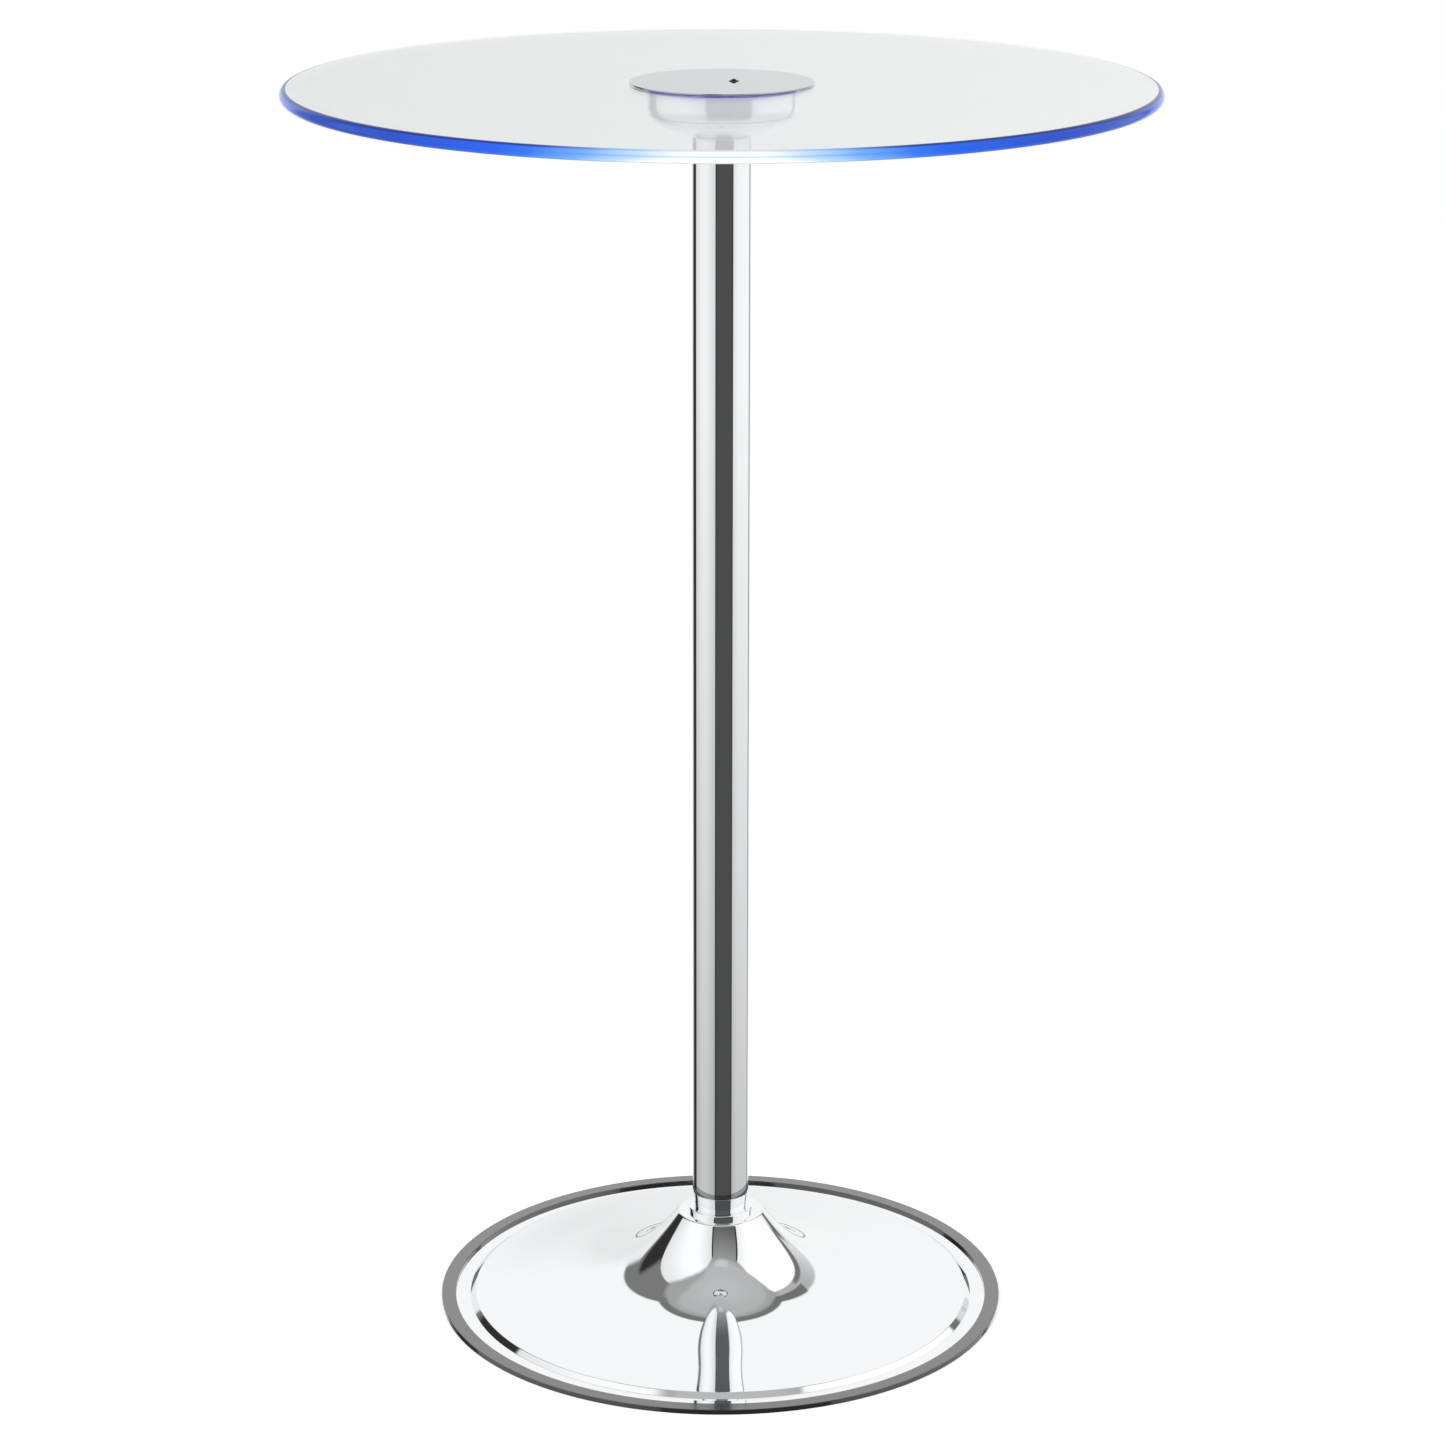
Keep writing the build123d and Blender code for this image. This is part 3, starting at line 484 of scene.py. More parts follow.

# %% [markdown]
# ## The bowl under the lamps
#
# The bowl is chromed like the rest, but it hangs in the lamps' light, and that light is painted
# on: a violet glow along its rim, a weak glow over all of it, and a plate colour that leans a
# little to violet. A fine groove runs round its corner. It is real in the frame, but narrower than
# a pixel from here, so the finish paints shade into it as a dark line. Both are placed by height,
# because the bowl is round.

# %% Painted glow and painted groove shade on the bowl
bowl_top, groove_drop, groove_half = top("lamp_bowl"), 0.0203, 0.0005
tree = bowl_chrome.node_tree
bowl_shader = tree.nodes["Principled BSDF"]
down = math_node(tree, "SUBTRACT", bowl_top, height_in(tree))
# Painted glow: a violet emission along the rim, fading to a weak glow over the whole bowl.
leak = spread(tree, down, 0.0, 0.005)
violet = ramp(tree, leak, [(0.25, (0.10, 0.04, 0.60)), (0.45, (0.075, 0.068, 0.13))])
off_groove = math_node(tree, "ABSOLUTE", math_node(tree, "SUBTRACT", down, groove_drop))
# Painted shade: the groove is drawn as a dark line in the plate colour.
away_from_groove_shade = between(tree, off_groove, groove_half * 0.5, groove_half)
plate_colour_with_groove_shade = ramp(tree, away_from_groove_shade, [(0.0, (0.06, 0.06, 0.07)), (1.0, (0.96, 0.95, 1.0))])
settings(bowl_shader, base_color=plate_colour_with_groove_shade, emission_color=violet, emission_strength=1.0)
print("bowl's rim at", round(bowl_top, 4), "groove", groove_drop, "below it")

# %% [markdown]
# ## Paint, plastic, rubber and iron
#
# These finishes differ in colour, in how coarse their grain is and in how it shines, and in
# nothing else, so one function makes them. Shiny ones get a clear coat, which keeps its shine
# while the colour below stays soft.


# %% Grained finishes
dust_colour = (0.42, 0.41, 0.39, 1)


def grained_finish(
    name, colour, roughness, scale, depth, drift=0.15, coat=0.0, dusty=0.0, ior=1.5
):
    """A pebbled surface in one colour that drifts a little, with dust on its upper side."""
    material, tree, shader = new_material(name)
    face = use_group(tree, grain, scale=scale, drift=drift, colour=(*colour, 1))
    tint = face["Colour"]
    if dusty:
        lying = use_group(tree, dust, amount=dusty)["Mask"]
        tint = mixed(tree, lying, tint, dust_colour)
    rough = spread(tree, face["Mask"], 0.0, 1.0, roughness, roughness * 1.25)
    bump = put(tree, "Bump", inputs={"Strength": 0.5, "Distance": depth, "Height": face["Height"]})
    settings(shader, base_color=tint, roughness=rough, normal=bump.outputs[0], ior=ior)
    settings(shader, coat_weight=coat, coat_roughness=0.06)
    return material


white_look = ((0.72, 0.73, 0.73), 0.38, 1200, 2e-5, 0.06)
# Each slot's material, colour, roughness, grain scale and depth, drift, coat, dust and index.
looks = {
    "black_trim": ("black_trim", (0.012, 0.012, 0.014), 0.16, 900, 1e-6, 0.05, 1.0, 0.04, 1.8),
    "iron": ("cast_iron", (0.055, 0.053, 0.05), 0.62, 260, 2.5e-4, 0.5),
    "black_paint": ("powder_paint", (0.02, 0.02, 0.021), 0.5, 1100, 6e-5, 0.2),
    "black_rubber": ("black_rubber", (0.018, 0.018, 0.018), 0.7, 1500, 3e-5),
    "white_plastic": ("white_moulding", *white_look),
    "black_plastic": ("black_moulding", (0.025, 0.025, 0.027), 0.42, 1200, 3e-5),
    "white_tape": ("lamp_tape", (0.7, 0.7, 0.68), 0.5, 900, 1e-5, 0.08),
    "dark_parts": ("dark_parts", (0.022, 0.022, 0.024), 0.45, 1500, 2e-5),
    "cell_sleeve": ("cell_sleeve", (0.03, 0.055, 0.09), 0.25, 700, 2e-6, 0.15, 0.5),
    "button_black": ("button_black", (0.02, 0.02, 0.021), 0.3, 1400, 1e-5),
    "lead_black": ("lead_black", (0.02, 0.02, 0.022), 0.48, 1300, 1e-5),
}
finish_of = {slot: grained_finish(*look) for slot, look in looks.items()}
print("grained finishes:", len(finish_of))

# %% [markdown]
# ## Circuit board green
#
# The board's lacquer is a glossy green with the copper tracks showing through as a lighter
# green. A Brick texture with offset rows makes a believable net of tracks without drawing any
# real circuit.

# %% Board finish
green_board, tree, shader = new_material("green_board")
colours = {
    "Color1": (0.01, 0.11, 0.035, 1),
    "Color2": (0.012, 0.13, 0.04, 1),
    "Mortar": (0.05, 0.26, 0.09, 1),
}
lay = {"Vector": place_in(tree), "Scale": 260.0, "Mortar Size": 0.06, **colours}
tracks = put(tree, "TexBrick", {"offset": 0.37}, lay)
settings(shader, base_color=tracks.outputs["Color"], roughness=0.3, coat_weight=0.4)
print("board finish:", green_board.name)

# %% [markdown]
# ## Lamps
#
# The lamps on the band are small blue light-emitting chips under a clear dome. Each one is
# bright in the middle and deeper blue at its rim. A Voronoi cell would give a dot per lamp,
# but the lamps are separate small blocks, so a slow change with height is enough.

# %% Lamp finish
blue_lamp, tree, shader = new_material("blue_lamp")
lamp_low, lamp_high = bottom("lamps"), top("lamps")
share = spread(tree, height_in(tree), lamp_low, lamp_high)
rim_blue, middle_blue = (0.06, 0.05, 0.9), (0.30, 0.26, 1.0)
glow = ramp(tree, share, [(0.0, rim_blue), (0.5, middle_blue), (1.0, rim_blue)])
settings(shader, base_color=(0.1, 0.12, 0.5, 1), roughness=0.25)
settings(shader, emission_color=glow, emission_strength=2.4)
print("lamps from", round(lamp_low, 4), "to", round(lamp_high, 4))

# %% [markdown]
# ## Letting light through
#
# Clear pieces bend light, and a renderer can't aim at a lamp through a bend, so everything
# under a sheet of glass would be dark. The usual way out is used here: rays that only ask how
# much light arrives pass straight through. So do rays that the chrome has mirrored, which keeps
# the base's reflection calm.

# %% Helper for clear pieces
open_tint = (0.985, 0.99, 0.99, 1)


def let_light_through(tree, surface=None):
    """Open the surface to shadow rays, and to rays that a polished piece has mirrored."""
    surface = surface or tree.nodes["Principled BSDF"].outputs[0]
    rays = put(tree, "LightPath").outputs
    untouched = math_node(tree, "LESS_THAN", rays["Transmission Depth"], 0.5)
    mirrored = times(tree, rays["Is Glossy Ray"], untouched)
    opened = math_node(tree, "MAXIMUM", rays["Is Shadow Ray"], mirrored)
    open_way = put(tree, "BsdfTransparent", inputs={"Color": open_tint}).outputs[0]
    way = put(tree, "MixShader", inputs={0: opened, 1: surface, 2: open_way})
    tree.links.new(way.outputs[0], tree.nodes["Material Output"].inputs["Surface"])


print("open way tinted", open_tint[:3])

# %% [markdown]
# ## Clear pieces
#
# The gasket under the glass is clear silicone, and the light pipe of the receiver is smoked
# plastic. Both let light through, one milky and one nearly black. Only the gasket is opened to
# mirrored rays: the pipe's dark dome has to stay in the cover plate's reflection.


# %% Clear finishes
def clear_finish(name, colour, roughness, wiped, ior, scale=2.0, smudges=0.6):
    """A see-through finish with faint handling marks."""
    material, tree, shader = new_material(name)
    rough = worn(tree, roughness, wiped, scale=scale, smudges=smudges)[0]
    settings(shader, base_color=(*colour, 1), transmission_weight=1.0, roughness=rough, ior=ior)
    return material


clear_silicone = clear_finish("clear_silicone", (0.92, 0.93, 0.94), 0.22, 0.28, 1.41)
let_light_through(clear_silicone.node_tree)
smoked_plastic = clear_finish("smoked_plastic", (0.05, 0.03, 0.04), 0.04, 0.1, 1.5)
print("clear finishes:", clear_silicone.name, smoked_plastic.name)

# %% [markdown]
# ## The clear faces of the glass
#
# The top is one toughened sheet, but it needs two finishes, and this is the one for its faces.
# The sheet keeps back a little of the light that goes through it, and a little more of the red,
# so its colour is a pale cold grey. A dark tint would also do that, but only where the sheet is
# seen through its thickness. The smudges that hands leave change the gloss and not the colour.

# %% Glass finish
glass_ior = 1.5
clear_glass = clear_finish("clear_glass", (0.79, 0.83, 0.83), 0.0, 0.02, glass_ior, 0.5, 0.4)
let_light_through(clear_glass.node_tree)
print("glass:", clear_glass.name)

# %% [markdown]
# ## The lit edge
#
# Real light gets to the edge by bouncing along inside the sheet from the lamps in the middle.
# Cycles could follow those bounces, but it would need dozens of them and would stay noisy. So
# the edge carries its own glow, laid out as the bounces leave it: where you look along a radius
# you look straight at the lamps and the edge is white, and as it turns away it goes through
# bright blue to a soft periwinkle. Lower down the white reaches a little further round.
#
# Layer Weight measures that turn. Its normal is laid flat first, so that the roundness of the
# edge doesn't count.

# %% Lit edge finish
edge_low, edge_high = bottom("glass_top"), top("glass_top")
lit_edge, tree, glow_shader = new_material("lit_edge")
settings(glow_shader, base_color=(0.008, 0.012, 0.05, 1), roughness=0.12)
settings(glow_shader, specular_ior_level=0.15)

edge_geometry = put(tree, "NewGeometry").outputs
parts = put(tree, "SeparateXYZ", inputs={0: edge_geometry["Normal"]}).outputs
flat = put(tree, "CombineXYZ", inputs={"X": parts["X"], "Y": parts["Y"]}).outputs[0]
flat = put(tree, "VectorMath", {"operation": "NORMALIZE"}, {0: flat}).outputs[0]
turn = put(tree, "LayerWeight", inputs={"Blend": 0.5, "Normal": flat}).outputs["Facing"]
level = spread(tree, height_in(tree), edge_low, edge_high)
whiter_below = spread(tree, level, 0.1, 0.5, 0.014, 0.0)
white = (1.0, 1.0, 1.0)
turn_stops = [
    (0.016, white),
    (0.03, (0.55, 0.76, 0.95)),
    (0.06, (0.19, 0.45, 0.95)),
    (0.11, (0.035, 0.20, 0.92)),
    (0.15, (0.018, 0.13, 0.85)),
    (0.35, (0.015, 0.075, 0.55)),
    (0.6, (0.04, 0.10, 0.46)),
    (1.0, (0.12, 0.20, 0.62)),
]
around = ramp(tree, math_node(tree, "SUBTRACT", turn, whiter_below), turn_stops)
print("edge from", round(edge_low, 4), "to", round(edge_high, 4))

# %% [markdown]
# ## Over the height of the edge
#
# Away from the middle the edge has a dark line along its upper arris, where the light is held
# inside the sheet. In the bright stretch that line is washed out, and a fine pale blue one runs
# a little above half height instead. Both stretches end in a grey hairline at the bottom. So
# there are two ramps over the height, and the turn decides between them.
#
# The glow is only on the outside: seen from within, the same face is glass, which Backfacing
# decides.

# %% Edge over its height
bright_stops = [
    (0.0, (0.42, 0.45, 0.50)),
    (0.06, (0.52, 0.55, 0.60)),
    (0.13, white),
    (0.5, white),
    (0.57, (0.50, 0.74, 0.92)),
    (0.64, white),
    (0.88, white),
    (1.0, (0.55, 0.58, 0.75)),
]
blue_stops = [
    (0.0, (0.35, 0.35, 0.42)),
    (0.06, (0.45, 0.45, 0.52)),
    (0.13, white),
    (0.84, (0.9, 0.9, 0.95)),
    (0.94, (0.12, 0.12, 0.2)),
]
bright_part, blue_part = ramp(tree, level, bright_stops), ramp(tree, level, blue_stops)
across = mixed(tree, between(tree, turn, 0.03, 0.12), bright_part, blue_part)
glow = mixed(tree, 1.0, around, across, "MULTIPLY")
settings(glow_shader, emission_color=glow, emission_strength=1.0)

inner_glass = put(tree, "BsdfPrincipled")
settings(inner_glass, base_color=(0.9, 0.94, 1.0, 1), roughness=0.0)
settings(inner_glass, transmission_weight=1.0, ior=glass_ior)
outside, within = glow_shader.outputs[0], inner_glass.outputs[0]
sides = put(tree, "MixShader", inputs={0: edge_geometry["Backfacing"], 1: outside, 2: within})
let_light_through(tree, sides.outputs[0])
print("edge finish:", lit_edge.name)

# %% [markdown]
# ## The ground wall of the hole
#
# The lamps press against the wall of the hole in the middle of the glass. That wall is ground
# and not polished, so it scatters their light into the sheet and shows as a violet line under
# the rim of the cover plate. It is a dull glow that is whiter towards the top.

# %% Lit wall finish
lit_wall, tree, wall_shader = new_material("lit_wall")
level = spread(tree, height_in(tree), edge_low, edge_high)
wall_stops = [
    (0.0, (0.10, 0.05, 0.50)),
    (0.25, (0.22, 0.16, 0.80)),
    (0.5, (0.55, 0.52, 0.95)),
    (0.8, (0.78, 0.79, 0.90)),
    (1.0, (0.70, 0.72, 0.80)),
]
wall_glow = ramp(tree, level, wall_stops)
settings(wall_shader, base_color=(0.05, 0.05, 0.12, 1), roughness=0.5)
settings(wall_shader, emission_color=wall_glow, emission_strength=0.9)
let_light_through(tree)
print("wall finish:", lit_wall.name)

# %% [markdown]
# ## The moulding that carries the lamps
#
# The lamp carrier is a white moulding, and its flange lies right under the glass next to the
# lamps. White plastic lets some light in, so the rim of the flange glows violet and draws a
# thin line under the cover plate. The rest of it stays white, which a mask over the distance
# from the axis decides.

# %% Lit moulding finish
lit_moulding = grained_finish("lit_moulding", *white_look)
tree = lit_moulding.node_tree
moulding_shader = tree.nodes["Principled BSDF"]
flat_place = put(tree, "VectorMath", {"operation": "MULTIPLY"}, {0: place_in(tree), 1: (1, 1, 0)})
from_axis = put(tree, "VectorMath", {"operation": "LENGTH"}, {0: flat_place.outputs[0]})
flange_reach, flange_rim = reach("lamp_carrier"), 0.003
rim_share = spread(tree, from_axis.outputs["Value"], flange_reach - flange_rim, flange_reach)
flange_glow = ramp(tree, rim_share, [(0.2, (0.0, 0.0, 0.0)), (0.7, (0.09, 0.03, 0.62))])
settings(moulding_shader, emission_color=flange_glow, emission_strength=1.0)
print("flange reaches", round(flange_reach, 4))

# %% [markdown]
# ## Dressing the pieces that stay
#
# Most pieces keep the shape they have in the frame and only need a finish. A table of slot
# names and materials could be spread over the file, but kept in one place it shows at a glance
# that nothing was forgotten.

# %% Finishes by slot
finish_of |= {
    "chrome": chrome,
    "chromed_hub": chrome,
    "zinced_steel": zinced_steel,
    "spring_contact": spring_contact,
    "clear_glass": clear_glass,
    "clear_silicone": clear_silicone,
    "smoked_plastic": smoked_plastic,
    "blue_lamp": blue_lamp,
    "green_board": green_board,
}
finish_of_node = {
    "cover_plate": shaded_cover_chrome,
    "lamp_bowl": bowl_chrome,
    "lamp_carrier": lit_moulding,
}
for name, piece in cad.items():
    for slot in piece.material_slots:
        slot.material = finish_of_node.get(name, finish_of[slot.material.name])
print("dressed", len(cad), "CAD nodes with", len(finish_of), "finishes")

# %% [markdown]
# ## The base
#
# The base is one steel blank, pressed into a trumpet: a small crown that meets the neck, a
# tight shoulder, a long flare, and a stepped rim. A subdivided cage could follow it, but its
# reflections would swim between the loops. The lathe takes the flare from a smooth curve
# through a few given places, and the bends from arcs.
#
# Two helpers do this: one draws the curve, with its slope held at both ends, and one gives a
# line the thickness of the sheet.


# %% A smooth curve and a sheet
def clamped_curve(places, start, end, steps):
    """A smooth curve through the places, with a unit direction at each end."""
    places = np.array(places, float)
    knots = np.concatenate([[0], np.cumsum(np.linalg.norm(np.diff(places, axis=0), axis=1))])
    spans = np.diff(knots)
    count = len(places)
    system, wanted = np.eye(count), np.zeros((count, 2))
    wanted[0], wanted[-1] = start, end
    for i in range(1, count - 1):
        before, after = spans[i - 1], spans[i]
        system[i, i - 1 : i + 2] = after, 2 * (before + after), before
        rise = after * (places[i] - places[i - 1]) / before
        wanted[i] = 3 * (rise + before * (places[i + 1] - places[i]) / after)
    slopes = np.linalg.solve(system, wanted)
    curve = []
    for distance in np.linspace(0, knots[-1], steps + 1):
        i = min(int(np.searchsorted(knots, distance, "right")) - 1, count - 2)
        t = (distance - knots[i]) / spans[i]
        point = (2 * t**3 - 3 * t**2 + 1) * places[i] + (3 * t**2 - 2 * t**3) * places[i + 1]
        pull = (t**3 - 2 * t**2 + t) * slopes[i] + (t**3 - t**2) * slopes[i + 1]
        curve.append(tuple(point + spans[i] * pull))
    return curve


def sheet(outside, thickness=sheet_thickness):
    """A closed profile: the outside line and the same line moved inwards by the thickness."""
    line = np.array(outside, float)
    along = np.gradient(line, axis=0)
    along /= np.linalg.norm(along, axis=1)[:, None]
    inside = line + thickness * np.stack([along[:, 1], -along[:, 0]], axis=1)
    return [tuple(p) for p in line] + [tuple(p) for p in inside[::-1]]


straight = clamped_curve([(0, 0), (1, 0)], (1, 0), (1, 0), 4)
print("a straight line in 4 steps:", straight[0], "to", straight[-1])

# %% [markdown]
# ## The line of the base
#
# A change of slope of one degree moves what the base mirrors by a hand's width, so the places
# on the flare are the most delicate numbers of this file. They are given as shares of the way
# from the shoulder to the end of the flare, so that they follow when the base changes size.

# %% Base shell profile
crown_height = top("base_shell")
shoulder_height, shoulder_radius, shoulder_bend = 0.0761, 0.0377, 0.003
shoulder_angle, rim_angle = 54.5, 5
rim_land, step_run, step_height, flange_width = 0.005, 0.0048, 0.004, 0.0125
step_bend, foot_bend, fit = 0.0016, 0.0008, 0.00005
flange_top = bottom("base_shell") + sheet_thickness
flange_outer = reach("base_shell")
step_foot = flange_outer - flange_width
step_head = step_foot - step_run
step_top = flange_top + step_height
flare_end = (step_head - rim_land, step_top + rim_land * math.tan(math.radians(rim_angle)))
flare_reach_shares = (0.179, 0.271, 0.461, 0.718)
flare_drop_shares = (0.471, 0.623, 0.801, 0.907)

places = [(shoulder_radius, shoulder_height)]
for along, down in zip(flare_reach_shares, flare_drop_shares):
    radius = shoulder_radius + (flare_end[0] - shoulder_radius) * along
    places.append((radius, shoulder_height - (shoulder_height - flare_end[1]) * down))
places.append(flare_end)
slopes = [math.radians(angle) for angle in (shoulder_angle, rim_angle)]
falls = [(math.cos(slope), -math.sin(slope)) for slope in slopes]
flare = clamped_curve(places, *falls, 150)
crown_radius = shoulder_radius - shoulder_bend * math.sin(slopes[0])
bend_centre = (crown_radius, crown_height - shoulder_bend)
shoulder = arc(bend_centre, shoulder_bend, 90, 90 - shoulder_angle, 24)
collar = reach("hub_stand") + fit
rim_corners = [flare[-1], (step_head, step_top)]
rim_corners += [(step_foot, flange_top), (flange_outer, flange_top)]
rim = rounded(rim_corners, (0, step_bend, foot_bend, 0), 10)

shell_profile = [(collar, crown_height)] + shoulder + flare[1:] + rim[1:]
base_shell = lathe("base_shell_spun", sheet(shell_profile))
stands_for(base_shell, "base_shell", "table", "chrome", base_chrome)

# %% [markdown]
# ## The dark ring round the base
#
# A black glossy ring is pushed on round the flange and carries the whole table. It is one
# closed profile: a wall outside, and a thin lip that reaches under the shell. Its small round
# arrises catch the light as a fine line.

# %% Base edge ring
ring_outer, ring_top = reach("base_edge_ring"), top("base_edge_ring")
lip_thickness, ring_wall, lip_width, ring_bend = 0.0008, 0.0125, 0.0105, 0.0006
wall_inner = ring_outer - ring_wall
ring_corners = [
    (wall_inner - lip_width, 0),
    (ring_outer, 0),
    (ring_outer, ring_top),
    (wall_inner, ring_top),
    (wall_inner, lip_thickness),
    (wall_inner - lip_width, lip_thickness),
]
ring_bends = (0.0002, 0.0003, ring_bend, ring_bend, 0, 0.0002)
edge_ring = lathe("base_edge_ring_turned", rounded(ring_corners, ring_bends))
stands_for(edge_ring, "base_edge_ring", "table", "black_trim", finish_of["black_trim"])

# %% [markdown]
# ## The column and its neck
#
# The column is a drawn tube, so it is the straightest thing in the picture, and its mirror
# image of the studio runs in dead straight bands. Below it a turned spigot narrows slightly
# and disappears in the bead of the base. Both have a small rounded arris, because a truly
# sharp one would flicker and no real part has it.

# %% Column tube and foot
tube_radius, tube_wall = reach("column_tube"), 0.0015
tube_bends = (0.0002, 0.0004, 0.0004, 0.0002)
tube_low, tube_high = bottom("column_tube"), top("column_tube")
tube_corners = rectangle(tube_radius - tube_wall, tube_radius, tube_low, tube_high)
column = lathe("column_tube_drawn", rounded(tube_corners, tube_bends, 5))
stands_for(column, "column_tube", "table", "chrome", chrome)

neck_inset, neck_taper_angle = 0.0005, 4.5
foot_bore, plug_bore, bolt_tip = 0.00505, 0.014, 0.069
foot_low, foot_high = bottom("column_foot"), top("column_foot")
neck_radius = tube_radius - neck_inset
plug_radius = tube_radius - tube_wall - fit
tip_radius = neck_radius - math.tan(math.radians(neck_taper_angle)) * (tube_low - foot_low)
foot_corners = [
    (foot_bore, foot_low),
    (tip_radius, foot_low),
    (neck_radius, tube_low),
    (plug_radius, tube_low),
    (plug_radius, foot_high),
    (plug_bore, foot_high),
    (plug_bore, bolt_tip),
    (foot_bore, bolt_tip),
]
foot_bends = (0, 0.0003, 0.0002, 0, 0, 0, 0, 0)
foot = lathe("column_foot_turned", rounded(foot_corners, foot_bends, 5))
stands_for(foot, "column_foot", "table", "chrome", chrome)

# %% [markdown]
# ## The sheet of glass
#
# The sheet is clear glass with a half-round edge and a hole in the middle for the lamps. A
# disc with a bevel would do from afar, but the edge is what people look at, so it is a true
# half circle with many rings. The faces of that half circle get the lit finish, the wall of
# the hole gets the ground one, and the flat faces stay clear.

# %% Glass top
glass_radius, glass_low, glass_high = reach("glass_top"), bottom("glass_top"), top("glass_top")
half_glass = (glass_high - glass_low) / 2
glass_hole, hole_arris = 0.050964, 0.0006
edge_start = glass_radius - half_glass
arris = glass_hole + hole_arris
glass_profile = arc((edge_start, glass_low + half_glass), half_glass, -90, 90, 32)
glass_profile += arc((arris, glass_high - hole_arris), hole_arris, 90, 180, 4)
glass_profile += arc((arris, glass_low + hole_arris), hole_arris, 180, 270, 4)
glass = lathe("glass_sheet", glass_profile)
for face in glass.data.polygons:
    distance = math.hypot(face.center.x, face.center.y)
    if distance > edge_start:
        face.material_index = 1
    elif distance < arris:
        face.material_index = 2
stands_for(glass, "glass_top", "table", "clear_glass", clear_glass, lit_edge, lit_wall)

# %% [markdown]
# ## The window's bezel
#
# The dark dome of the receiver looks out of a hole in the cover plate. A low black ring lines
# that hole and hides its edge. It belongs to the plate and lifts off with it, so it rides on
# the cover, while the dome stays behind on the lamp unit.

# %% Window bezel
dome_low, dome_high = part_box("light_pipe")
dome_x = (dome_low.x + dome_high.x) / 2
dome_radius = (dome_high.x - dome_low.x) / 2
plate_top = top("cover_plate")
bezel_inner, bezel_outer, bezel_height = dome_radius + 0.0002, dome_radius + 0.0013, 0.0005
bezel_corners = rectangle(bezel_inner, bezel_outer, plate_top, plate_top + bezel_height)
bezel = lathe("window_bezel", rounded(bezel_corners, (0, 0, 0.00035, 0.0001), 6), steps=64)
bezel.data.transform(Matrix.Translation((dome_x, 0, 0)))
bezel.data.materials.append(finish_of["black_plastic"])
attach(bezel, "cover")
print("bezel at x", round(dome_x, 4), "reaches", round(bezel_outer, 4))

# %% [markdown]
# ## Floor
#
# The table stands on a white floor that runs out of the picture, so that no horizon shows. The
# floor is a little brighter than its own shading makes it, but only for what looks straight at
# it, and it stays out of the chrome's reflections, which come from the studio below.

# %% Floor
floor_half, floor_lift = 20.0, 0.5
floor_mesh = bpy.data.meshes.new("floor")
corners = [(x * floor_half, y * floor_half, 0) for x, y in ((-1, -1), (1, -1), (1, 1), (-1, 1))]
floor_mesh.from_pydata(corners, [], [(0, 1, 2, 3)])
add_object("floor", floor_mesh)

floor_white, tree, shader = new_material("floor_white")
tree.nodes.remove(shader)
rays = put(tree, "LightPath")
seen = math_node(tree, "LESS_THAN", rays.outputs["Diffuse Depth"], 0.5)
lift = times(tree, seen, floor_lift)
paper = put(tree, "BsdfDiffuse", inputs={"Color": (0.8, 0.8, 0.8, 1)}).outputs[0]
shine = put(tree, "Emission", inputs={"Strength": lift}).outputs[0]
paper = put(tree, "AddShader", inputs={0: paper, 1: shine}).outputs[0]
mirrored = math_node(tree, "GREATER_THAN", rays.outputs["Glossy Depth"], 0.5)
away = put(tree, "BsdfTransparent").outputs[0]
floor_out = put(tree, "MixShader", inputs={0: mirrored, 1: paper, 2: away}).outputs[0]
tree.links.new(floor_out, tree.nodes["Material Output"].inputs["Surface"])
floor_mesh.materials.append(floor_white)
print("floor:", 2 * floor_half, "m wide")

# %% [markdown]
# ## Camera
#
# The camera stands in front and a little above the glass, and has a long lens. Its place and
# lens were fitted to the round pieces: how flat the rounds of the glass and of the base look
# gives the height and the distance.

# %% Camera
camera_data = bpy.data.cameras.new("camera")
camera_data.lens, camera_data.sensor_width, camera_data.clip_end = 101.09, 36.0, 100.0
camera = add_object("camera", camera_data)
camera_place = (0.0012, -3.2821, 1.51424)
camera_tilt, camera_roll = math.radians(73.184), math.radians(0.08)
camera.matrix_world = (
    Matrix.Translation(camera_place)
    @ Matrix.Rotation(camera_tilt, 4, "X")
    @ Matrix.Rotation(camera_roll, 4, "Z")
)
bpy.context.scene.camera = camera
print("camera at", camera_place, "lens", camera_data.lens)

# %% [markdown]
# ## The studio
#
# Chrome shows the room and nothing else. This room has a large white panel on each side, a
# dark gap between them at the front, a white backdrop behind with dark corners, and a grey
# ceiling. Planes and lamps could stand in for them, but then they would also light and shade
# the floor. Here they are drawn straight into the world, by direction, and only for light that
# has met a polished surface. What looks past the table sees plain white, and dull surfaces see
# an even soft light.
#
# Two angles place everything: the bearing, which is 0 at the front of the table and grows
# towards its right side, and the height above the horizon. Each panel is a mask over them, laid
# over what is behind it.

# %% Directions
world = bpy.data.worlds.new("studio")
bpy.context.scene.world = world
world.use_nodes = True
room = world.node_tree
room.nodes.clear()
direction = put(room, "TexCoord").outputs["Generated"]
toward = put(room, "SeparateXYZ", inputs={0: direction}).outputs
frontward = times(room, toward["Y"], -1.0)
bearing = math_node(room, "DEGREES", math_node(room, "ARCTAN2", toward["X"], frontward))
aside = math_node(room, "ABSOLUTE", bearing)
sine = math_node(room, "MINIMUM", math_node(room, "MAXIMUM", toward["Z"], -1.0), 1.0)
rise_angle = math_node(room, "DEGREES", math_node(room, "ARCSINE", sine))
around_share = spread(room, bearing, -180, 180)
rise_share = math_node(room, "DIVIDE", rise_angle, 90.0)
print("directions:", len(room.nodes), "nodes")


